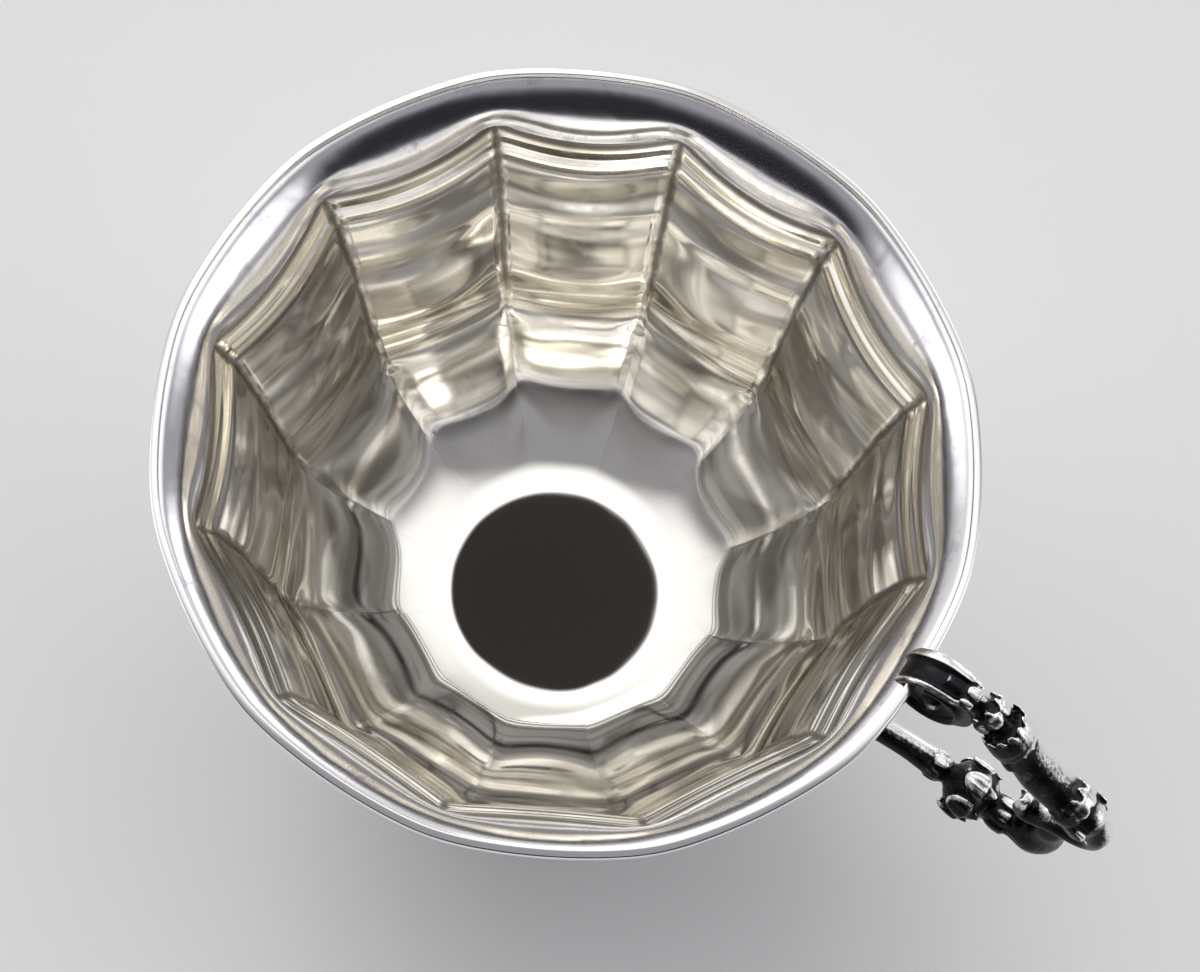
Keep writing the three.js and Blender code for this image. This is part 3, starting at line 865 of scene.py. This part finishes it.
def join(tree, socket, value):
    if isinstance(value, bpy.types.NodeSocket):
        tree.links.new(value, socket)
    else:
        socket.default_value = value


def calculate(tree, operation, *values):
    node = tree.nodes.new("ShaderNodeMath")
    node.operation = operation
    for socket, value in zip(node.inputs, values):
        join(tree, socket, value)
    return node.outputs["Value"]


def times(tree, a, b):
    return calculate(tree, "MULTIPLY", a, b)


def less(tree, a, b):
    return calculate(tree, "SUBTRACT", a, b)


def times_plus(tree, a, b, c):
    return calculate(tree, "MULTIPLY_ADD", a, b, c)


def fade(tree, value, start, end):
    """Goes softly from 0 to 1 while value goes from start to end."""
    node = tree.nodes.new("ShaderNodeMapRange")
    node.interpolation_type = "SMOOTHSTEP"
    for name, given in (("Value", value), ("From Min", start), ("From Max", end)):
        join(tree, node.inputs[name], given)
    return node.outputs["Result"]


print("number helpers ready")

# %% Nodes for places, colours and clouds


def on_vectors(tree, operation, a, b, result="Vector"):
    node = tree.nodes.new("ShaderNodeVectorMath")
    node.operation = operation
    join(tree, node.inputs[0], a)
    join(tree, node.inputs[1], b)
    return node.outputs[result]


def vector_of(tree, x, y, z):
    node = tree.nodes.new("ShaderNodeCombineXYZ")
    for socket, value in zip(node.inputs, (x, y, z)):
        join(tree, socket, value)
    return node.outputs["Vector"]


def blend(tree, share, under, over):
    node = tree.nodes.new("ShaderNodeMix")
    node.data_type = "RGBA"
    join(tree, node.inputs["Factor"], share)
    for name, colour in (("A", under), ("B", over)):
        join(tree, node.inputs[name], colour if isinstance(colour, bpy.types.NodeSocket) else (*colour, 1))
    return node.outputs["Result"]


def clouds(tree, spot, scale, detail, rough, distortion=0.0):
    node = tree.nodes.new("ShaderNodeTexNoise")
    for name, given in (
        ("Vector", spot), ("Scale", scale), ("Detail", detail), ("Roughness", rough),
        ("Distortion", distortion),
    ):
        join(tree, node.inputs[name], given)
    return node.outputs["Fac"]


def stretch(tree, spot, scale, turn=(0, 0, 0), shift=(0, 0, 0)):
    node = tree.nodes.new("ShaderNodeMapping")
    for name, given in (("Vector", spot), ("Location", shift), ("Rotation", turn), ("Scale", scale)):
        join(tree, node.inputs[name], given)
    return node.outputs["Vector"]


print("place, colour and cloud helpers ready")

# %% [markdown]
# A node group has named inputs with usual values, and named outputs. A material gives it only the values
# that differ.

# %% Start, finish and use a node group
ORIGIN = (0.0, 0.0, 0.0)


def start_group(name, inputs, outputs):
    """A node group: its tree, its inputs by name, and the node that its outputs go into."""
    tree = bpy.data.node_groups.new(name, "ShaderNodeTree")
    kinds = {float: "NodeSocketFloat", tuple: "NodeSocketVector"}
    for socket_name, value in inputs:
        socket = tree.interface.new_socket(name=socket_name, in_out="INPUT", socket_type=kinds[type(value)])
        socket.default_value = value
    for socket_name, kind_of_value in outputs:
        tree.interface.new_socket(name=socket_name, in_out="OUTPUT", socket_type=kinds[kind_of_value])
    given = tree.nodes.new("NodeGroupInput")
    return tree, given.outputs, tree.nodes.new("NodeGroupOutput")


def finish_group(tree, made, values):
    for name, value in values:
        join(tree, made.inputs[name], value)
    print("group", tree.name, "has", len(tree.nodes), "nodes")


def use_group(tree, group, **values):
    node = tree.nodes.new("ShaderNodeGroup")
    node.node_tree = group
    for name, value in values.items():
        join(tree, node.inputs[name], value)
    return node.outputs


print("group helpers ready")

# %% [markdown]
# The first group says where on the fluted bowl a point lies: how far from the nearest arris, how deep below
# the rim, and in which flute. It turns the place into an angle round the axis, and counts flutes in it. Its
# pattern place runs along the flute and down the wall, with a jump from flute to flute, because a smith
# planishes and polishes each flute for itself. Its last value is 1 on the wall and fades to 0 on the floor.

# %% Group: place on the bowl
FLUTE_WIDE, FLUTE_JUMP = 18, 37
WALL_FROM, WALL_TO = 13, 25
place_group, given, made = start_group(
    "place_on_the_bowl",
    [("Place", ORIGIN)],
    [("Arris Gap", float), ("Depth", float), ("Pattern", tuple), ("Wall", float)],
)
split = place_group.nodes.new("ShaderNodeSeparateXYZ")
join(place_group, split.inputs[0], on_vectors(place_group, "SUBTRACT", given["Place"], AXIS))
across_x, across_y, height = split.outputs
angle = calculate(place_group, "ARCTAN2", across_y, across_x)
turns = times_plus(place_group, angle, FLUTES / (2 * math.pi), FLUTES - 0.5)
flute = calculate(place_group, "MODULO", calculate(place_group, "FLOOR", turns), FLUTES)
along = calculate(place_group, "FRACT", turns)
flat_place = vector_of(place_group, across_x, across_y, 0)
flat_reach = on_vectors(place_group, "LENGTH", flat_place, ORIGIN, "Value")
radius = calculate(place_group, "DIVIDE", flat_reach, MM)
from_middle = calculate(place_group, "ABSOLUTE", less(place_group, along, 0.5))
to_arris = less(place_group, 0.5, from_middle)
gap = times(place_group, times(place_group, to_arris, radius), 2 * math.pi / FLUTES)
below_rim = calculate(place_group, "DIVIDE", less(place_group, RIM_TOP, height), MM)
bow = times_plus(place_group, times(place_group, from_middle, from_middle), -4, 1)
depth = less(place_group, below_rim, times(place_group, bow, SAG))
across_flute = times(place_group, along, FLUTE_WIDE)
pattern = vector_of(place_group, across_flute, depth, times(place_group, flute, FLUTE_JUMP))
on_wall = fade(place_group, radius, WALL_FROM, WALL_TO)
finish_group(
    place_group, made, (("Arris Gap", gap), ("Depth", depth), ("Pattern", pattern), ("Wall", on_wall))
)

# %% [markdown]
# Raising leaves a bowl that is true to the hand and not to the mirror: long shallow waves round the wall,
# with finer drag lines in them. A mirror shows them as bands and as something like wood grain. The waves are
# two noises pulled out along the flute, one broad and one fine, and a third gives the streaks of worn gilt.
# The floor was hammered from all sides, so there the waves give way to round, shallow dents.

# %% Group: raised waves
BROAD_PULL, FINE_PULL, GRAIN_PULL = (0.03, 0.12, 1), (0.05, 0.26, 1), (0.05, 0.25, 1)
DENTS_APART, DENTS_HIGH = 70, 0.3
STREAK_EDGES = (0.42, 0.66)
waves_group, given, made = start_group(
    "raised_waves",
    [("Place", ORIGIN), ("Pattern", ORIGIN), ("Wall", 1.0), ("Broad", 1.0), ("Fine", 0.3)],
    [("Height", float), ("Streaks", float)],
)
broad_place = stretch(waves_group, given["Pattern"], BROAD_PULL)
fine_place = stretch(waves_group, given["Pattern"], FINE_PULL, shift=(3.1, 7.7, 0.4))
grain_place = stretch(waves_group, given["Pattern"], GRAIN_PULL, shift=(9.3, 1.7, 0.8))
broad = clouds(waves_group, broad_place, 1.0, 0.6, 0.4, 0.3)
fine = clouds(waves_group, fine_place, 1.0, 0.3, 0.5, 0.4)
grain = clouds(waves_group, grain_place, 1.0, 0.9, 0.5, 0.7)
dents = times(waves_group, clouds(waves_group, given["Place"], DENTS_APART, 1.0, 0.4, 0.6), DENTS_HIGH)
height = times_plus(waves_group, fine, given["Fine"], times(waves_group, broad, given["Broad"]))
on_floor = times(waves_group, dents, less(waves_group, 1, given["Wall"]))
height = times_plus(waves_group, height, given["Wall"], on_floor)
streaks = times(waves_group, fade(waves_group, grain, *STREAK_EDGES), given["Wall"])
finish_group(waves_group, made, (("Height", height), ("Streaks", streaks)))

# %% [markdown]
# Tarnish is cloudy: it creeps in from where a polishing cloth doesn't reach. A broad noise sets where it
# lies, and a fine one breaks its edge up. The size of its patches is given in mm.

# %% Group: tarnish
SPECKLE_FINER, SPECKLE_SHARE = 7, 0.22
FULL_COVER, EDGE_WIDE = 0.7, 0.16
tarnish_group, given, made = start_group(
    "tarnish", [("Place", ORIGIN), ("Size", 1.0), ("Cover", 0.5)], [("Mask", float), ("Speckle", float)]
)
sized = calculate(tarnish_group, "DIVIDE", 1, times(tarnish_group, given["Size"], MM))
patches = clouds(tarnish_group, given["Place"], sized, 5.0, 0.6, 0.5)
speckle = clouds(tarnish_group, given["Place"], times(tarnish_group, sized, SPECKLE_FINER), 3.0, 0.6)
broken = times_plus(tarnish_group, speckle, SPECKLE_SHARE, patches)
edge = less(tarnish_group, 1.0, times(tarnish_group, given["Cover"], FULL_COVER))
mask = fade(tarnish_group, broken, edge, calculate(tarnish_group, "ADD", edge, EDGE_WIDE))
finish_group(tarnish_group, made, (("Mask", mask), ("Speckle", speckle)))

# %% [markdown]
# Scratches are noise pulled out very long in two directions, of which only the sharpest crests are kept.
# That is cheaper than modelling them, and they can be as fine as a cloth leaves them.

# %% Group: scratches
SCRATCH_PULL = (120, 17000, 120)
SCRATCH_TURNS = ((0.4, 0.7, 0.5), (1.3, -0.4, 1.9))
CREST_EDGES = (0.69, 0.77)
scratch_group, given, made = start_group("scratches", [("Place", ORIGIN)], [("Mask", float)])
crests = []
for turn in SCRATCH_TURNS:
    pulled = stretch(scratch_group, given["Place"], SCRATCH_PULL, turn=turn)
    crests.append(fade(scratch_group, clouds(scratch_group, pulled, 1.0, 1.0, 0.5), *CREST_EDGES))
finish_group(scratch_group, made, [("Mask", calculate(scratch_group, "MAXIMUM", *crests))])

# %% [markdown]
# Each metal is one Principled shader, fully metallic, whose colour, roughness and bump the groups drive. The
# colour of a metal is what it mirrors back, so tarnish is a darker, browner tint and a little more roughness.

# %% Start and finish a metal


def start_metal(name):
    """A fully metallic material, its tree, and the place of a point on the cup."""
    material = bpy.data.materials.new(name)
    material.use_nodes = True
    tree = material.node_tree
    tree.nodes["Principled BSDF"].inputs["Metallic"].default_value = 1
    return material, tree, tree.nodes.new("ShaderNodeTexCoord").outputs["Object"]


def finish_metal(material, colour, roughness, *heights):
    """Joins colour, roughness and pairs of (height, its full size in mm), as bumps one on the other."""
    tree = material.node_tree
    shader = tree.nodes["Principled BSDF"]
    join(tree, shader.inputs["Base Color"], colour)
    join(tree, shader.inputs["Roughness"], roughness)
    normal = None
    for height, size in heights:
        bump = tree.nodes.new("ShaderNodeBump")
        bump.inputs["Distance"].default_value = size * MM
        join(tree, bump.inputs["Height"], height)
        if normal:
            join(tree, bump.inputs["Normal"], normal)
        normal = bump.outputs["Normal"]
    join(tree, shader.inputs["Normal"], normal)
    print(material.name, len(tree.nodes), "nodes")


print("metal helpers ready")

# %% [markdown]
# The inside has a thin gilt wash, worn so pale that it is champagne more than gold. Its arrises' grooves are
# browned, partly as tarnish and partly as painted shade, and lines of painted shade lie under the crease of
# the lip and along the neck's lower reed. The grooves are browned only down to where the flutes die away.

# %% Finish: pale gilt
GILT, GILT_WORN, GILT_CLOUDED = (0.96, 0.935, 0.875), (0.4, 0.37, 0.31), (0.6, 0.56, 0.48)
# Brown of the arrises' grooves and of the shade lines: partly tarnish, partly painted shade.
GROOVE_BROWN_AND_SHADE = (0.12, 0.1, 0.08)
STREAKED, CLOUDED, BROWNED_AND_SHADED = 0.75, 0.35, 0.8
RAGGED, GROOVE_REACH = -0.7, (0.35, -0.25)
GROOVES_END = (ARRISES_END, 26)
# Depth, reach and strength of the painted shade lines under the crease and along the reed.
CREASE_SHADE_LINES = ((5.15, 0.6, 1.0), (8.4, 0.4, 0.75))
SHADE_LINE_CORE = 0.1
FLOOR_MATT, WALL_MATT, CLOUD_MATT, BROWN_AND_SHADE_MATT = 0.035, 0.05, 0.08, 0.2
WAVES_HIGH = 0.28

gilt, tree, place_on_cup = start_metal("pale_gilt")
on_bowl = use_group(tree, place_group, Place=place_on_cup)
waves = use_group(
    tree, waves_group,
    Place=place_on_cup, Pattern=on_bowl["Pattern"], Wall=on_bowl["Wall"], Broad=1.0, Fine=0.08,
)
dull = use_group(tree, tarnish_group, Place=place_on_cup, Size=9.0, Cover=0.55)
cloudy = times(tree, dull["Mask"], on_bowl["Wall"])
colour = blend(tree, times(tree, waves["Streaks"], STREAKED), GILT, GILT_WORN)
colour = blend(tree, times(tree, cloudy, CLOUDED), colour, GILT_CLOUDED)
ragged = times_plus(tree, dull["Speckle"], RAGGED, on_bowl["Arris Gap"])
# Brown along the arrises' grooves: tarnish together with painted shade.
brown_and_shade = times(tree, fade(tree, ragged, *GROOVE_REACH), fade(tree, on_bowl["Depth"], *GROOVES_END))
# Painted shade lines under the crease and along the neck's lower reed.
for shade_line_depth, shade_line_reach, strength in CREASE_SHADE_LINES:
    off_line = calculate(tree, "ABSOLUTE", less(tree, on_bowl["Depth"], shade_line_depth))
    line = times(tree, fade(tree, off_line, shade_line_reach, SHADE_LINE_CORE), strength)
    brown_and_shade = calculate(tree, "MAXIMUM", brown_and_shade, line)
colour = blend(tree, times(tree, brown_and_shade, BROWNED_AND_SHADED), colour, GROOVE_BROWN_AND_SHADE)
matt = times_plus(tree, on_bowl["Wall"], WALL_MATT, FLOOR_MATT)
matt = times_plus(tree, cloudy, CLOUD_MATT, matt)
matt = times_plus(tree, brown_and_shade, BROWN_AND_SHADE_MATT, matt)
finish_metal(gilt, colour, matt, (waves["Height"], WAVES_HIGH))

# %% [markdown]
# The lip and the outside are bare silver. Cleaning keeps the lip bright but covers it with fine scratches,
# and clouds of violet-grey tarnish stay on it. The same recipe with other values serves the outside, the foot
# and the wires. Only the outside of the bowl is fluted: it gets the raised waves and grey arrises as well.

# %% Finish: silver
SCRATCH_GREY, GROOVE_GREY = (0.3, 0.28, 0.3), (0.2, 0.18, 0.17)
TARNISHED, SCRATCHED, GREYED = 0.8, 0.12, 0.35
GREY_REACH = (0.45, 0.1)
HAMMER_MARKS = 160
TARNISH_MATT, SCRATCH_MATT = 0.1, 0.08
SCRATCH_DEEP = 0.0006


def silver_finish(name, clean, tarnished, patch, cover, rough, waviness, scratchy, fluted=False):
    """Patches of tarnish are given in mm, their cover and scratchy as shares, waviness as a height in mm."""
    material, tree, place_on_cup = start_metal(name)
    dull = use_group(tree, tarnish_group, Place=place_on_cup, Size=patch, Cover=cover)
    scratched = use_group(tree, scratch_group, Place=place_on_cup)["Mask"]
    colour = blend(tree, times(tree, dull["Mask"], TARNISHED), clean, tarnished)
    colour = blend(tree, times(tree, scratched, SCRATCHED * scratchy), colour, SCRATCH_GREY)
    if fluted:
        on_bowl = use_group(tree, place_group, Place=place_on_cup)
        wave = use_group(
            tree, waves_group,
            Place=place_on_cup, Pattern=on_bowl["Pattern"], Wall=on_bowl["Wall"], Fine=0.3,
        )["Height"]
        near_arris = fade(tree, on_bowl["Arris Gap"], *GREY_REACH)
        groove = times(tree, near_arris, fade(tree, on_bowl["Depth"], *GROOVES_END))
        colour = blend(tree, times(tree, groove, GREYED), colour, GROOVE_GREY)
    else:
        wave = clouds(tree, place_on_cup, HAMMER_MARKS, 2.0, 0.5, 0.4)
    matt = times_plus(tree, dull["Mask"], TARNISH_MATT, rough)
    matt = times_plus(tree, scratched, SCRATCH_MATT * scratchy, matt)
    finish_metal(material, colour, matt, (wave, waviness), (scratched, -SCRATCH_DEEP * scratchy))
    return material


lip_silver = silver_finish(
    "lip_silver", clean=(0.97, 0.96, 0.98), tarnished=(0.64, 0.6, 0.69),
    patch=4.0, cover=0.45, rough=0.15, waviness=0.08, scratchy=1.0,
)
outside_silver = silver_finish(
    "outside_silver", clean=(0.88, 0.86, 0.84), tarnished=(0.55, 0.5, 0.46),
    patch=11.0, cover=0.5, rough=0.13, waviness=0.12, scratchy=0.7, fluted=True,
)
foot_silver = silver_finish(
    "foot_silver", clean=(0.87, 0.85, 0.83), tarnished=(0.5, 0.45, 0.42),
    patch=8.0, cover=0.5, rough=0.14, waviness=0.06, scratchy=0.7,
)
wire_silver = silver_finish(
    "wire_silver", clean=(0.94, 0.93, 0.93), tarnished=(0.62, 0.58, 0.6),
    patch=3.0, cover=0.35, rough=0.16, waviness=0.04, scratchy=0.6,
)

# %% [markdown]
# The castings were blackened and then rubbed: the black stays in every recess and the high places shine. How
# high a point stands is measured on the mesh: a copy is melted by a strong smoothing, and what stands out of
# the melted copy is high. To that is added how far a point faces the side of the casting that the light falls
# on, which paints a highlight on that side. The measure is stored on the piece as an attribute that its
# material reads.

# %% Measure the high places and the lit side of the castings
MELTING = 400
STANDS_OUT = 0.17
# The sides that the light falls on: faces turned to them get a painted highlight.
SCROLL_LIT_SIDE = Vector((0.1, 0.55, 0.18))
ARM_LIT_SIDE = Vector((0, 0.5, 0.2))


def mark_high_and_lit_places(piece, lit_side):
    take(piece)
    bpy.ops.object.duplicate()
    melted = bpy.context.object
    melt = melted.modifiers.new("melt", "SMOOTH")
    melt.factor = 0.5
    melt.iterations = MELTING
    apply_modifiers(melted)
    marks = piece.data.attributes.new("high_and_lit_places", "FLOAT", "POINT")
    stands = [
        (point.co - soft.co).dot(point.normal) / MM
        for point, soft in zip(piece.data.vertices, melted.data.vertices)
    ]
    usual = sorted(stands)[len(stands) // 2]
    for point, mark, out in zip(piece.data.vertices, marks.data, stands):
        # The last term paints a highlight on the side that faces the light.
        mark.value = 0.5 + 0.5 * (out - usual) / STANDS_OUT + point.normal.dot(lit_side)
    bpy.data.objects.remove(melted)
    print(piece.name, "usually stands out", round(usual, 3), "mm, at most", round(max(stands), 3), "mm")


mark_high_and_lit_places(scroll_handle, SCROLL_LIT_SIDE)
mark_high_and_lit_places(bracket, ARM_LIT_SIDE)

# %% [markdown]
# The finish reads that attribute, and the speckle of the tarnish breaks up the border between black and
# shine, as rubbing over a rough casting does. On the side that faces the light, the shine is a painted
# highlight.

# %% Finish: blackened silver
BLACK, SOOT, SHINE = (0.02, 0.019, 0.022), (0.085, 0.078, 0.076), (0.88, 0.87, 0.86)
SPECKLED, SOOTED = 0.5, -0.15
RUBBED_AND_LIT_EDGES = (0.8, 1.12)
BLACK_MATT, POLISHED = 0.32, -0.16
CAST_GRAIN, CAST_SCRATCHES = 0.03, -0.004

blackened, tree, place_on_cup = start_metal("blackened_silver")
# Reads the rubbed high places together with the painted highlight of the lit side.
high = tree.nodes.new("ShaderNodeAttribute")
high.attribute_name = "high_and_lit_places"
dull = use_group(tree, tarnish_group, Place=place_on_cup, Size=2.2, Cover=0.5)
scratched = use_group(tree, scratch_group, Place=place_on_cup)["Mask"]
# Shine where the casting is rubbed high, and painted highlight where it faces the light.
rubbed_and_lit = times_plus(tree, dull["Speckle"], SPECKLED, high.outputs["Fac"])
rubbed_and_lit = times_plus(tree, dull["Mask"], SOOTED, rubbed_and_lit)
polish_and_sheen = fade(tree, rubbed_and_lit, *RUBBED_AND_LIT_EDGES)
colour = blend(tree, polish_and_sheen, blend(tree, dull["Mask"], BLACK, SOOT), SHINE)
matt = times_plus(tree, polish_and_sheen, POLISHED, BLACK_MATT)
finish_metal(blackened, colour, matt, (dull["Speckle"], CAST_GRAIN), (scratched, CAST_SCRATCHES))

# %% [markdown]
# Each piece now gets its finish, and the bowl its three, in the order of its slots.

# %% Dress the pieces


def dress(piece, material):
    piece.data.materials.clear()
    piece.data.materials.append(material)


for slot, material in enumerate((gilt, lip_silver, outside_silver)):
    bowl.material_slots[slot].material = material
dress(rim_bead, wire_silver)
dress(foot, foot_silver)
dress(foot_bead, foot_silver)
for casting in castings:
    dress(casting, blackened)
print("bowl wears", [slot.material.name for slot in bowl.material_slots])

# %% [markdown]
# ## The studio
# The cup stands on a wide sheet of pale card. It is part of the stage and not of the cup.

# %% Floor
CARD_WIDE = 3
deselect()
bpy.ops.mesh.primitive_plane_add(size=CARD_WIDE, location=(0, 0, 0))
floor_sheet = bpy.context.object
floor_sheet.name = "floor"
pale = bpy.data.materials.new("pale_floor")
pale.use_nodes = True
pale_shader = pale.node_tree.nodes["Principled BSDF"]
pale_shader.inputs["Base Color"].default_value = (0.9, 0.9, 0.9, 1)
pale_shader.inputs["Roughness"].default_value = 0.7
dress(floor_sheet, pale)
print("floor sheet", CARD_WIDE, "m wide")

# %% [markdown]
# Polished silver shows nothing but what stands round it, so the light is a whole room: a grey dome with soft
# patches of light and shade laid over it, one on the other. The windows light the panels, the dark corners
# give the lip its black, and the small dark round over the mouth is the disc that the floor mirrors. A patch
# is placed by its direction as the camera sees it.

# %% Studio
STUDIO_GREY = (0.3, 0.3, 0.32)
SHADE, MOUTH_SHADE = (0.02, 0.02, 0.024), (0.03, 0.027, 0.026)
# Each row: azimuth and elevation, where the patch is full and where it is gone, in degrees, and its colour.
PATCHES = (
    (112, 32, 22, 60, (0.75, 0.74, 0.72)),
    (112, 28, 10, 26, (3.6, 3.56, 3.5)),
    (90, 76, 7, 26, (1.4, 1.4, 1.42)),
    (33, 56, 8, 32, (1.1, 1.1, 1.12)),
    (147, 56, 8, 32, (1.1, 1.1, 1.12)),
    (0, 14, 10, 26, (1.3, 1.3, 1.33)),
    (180, 14, 10, 26, (1.3, 1.3, 1.33)),
    (55, 6, 8, 24, (1.5, 1.5, 1.54)),
    (232, 4, 20, 38, SHADE),
    (268, 8, 20, 38, SHADE),
    (306, 9, 20, 38, SHADE),
    (90, 71.4, 3.0, 4.8, MOUTH_SHADE),
)


def from_mouth(azimuth, elevation):
    """A direction given as the camera sees it: 0 is right, 90 is up in the picture, and 90 up is the axis."""
    turn, rise = math.radians(azimuth) + TURN, math.radians(elevation)
    return Vector((math.cos(rise) * math.cos(turn), math.cos(rise) * math.sin(turn), math.sin(rise)))


world = bpy.data.worlds.new("studio")
bpy.context.scene.world = world
world.use_nodes = True
studio = world.node_tree
studio.nodes.clear()
looking = studio.nodes.new("ShaderNodeTexCoord").outputs["Generated"]
colour = STUDIO_GREY
for azimuth, elevation, inner, outer, tint in PATCHES:
    facing = on_vectors(studio, "DOT_PRODUCT", looking, from_mouth(azimuth, elevation), "Value")
    within = fade(studio, facing, math.cos(math.radians(outer)), math.cos(math.radians(inner)))
    colour = blend(studio, within, colour, tint)
background = studio.nodes.new("ShaderNodeBackground")
join(studio, background.inputs["Color"], colour)
background.inputs["Strength"].default_value = 1.0
world_output = studio.nodes.new("ShaderNodeOutputWorld")
join(studio, world_output.inputs["Surface"], background.outputs["Background"])
print("studio has", len(PATCHES), "patches of light and shade")

# %% [markdown]
# Light that falls into the cup is mirrored from wall to wall many times before it comes out, so the render
# follows it for more bounces than usual.

# %% Bounces and view transform
BOUNCES, MIRROR_BOUNCES = 16, 14
bpy.context.scene.view_settings.view_transform = "Standard"
bpy.context.scene.cycles.max_bounces = BOUNCES
bpy.context.scene.cycles.glossy_bounces = MIRROR_BOUNCES
bpy.context.view_layer.update()
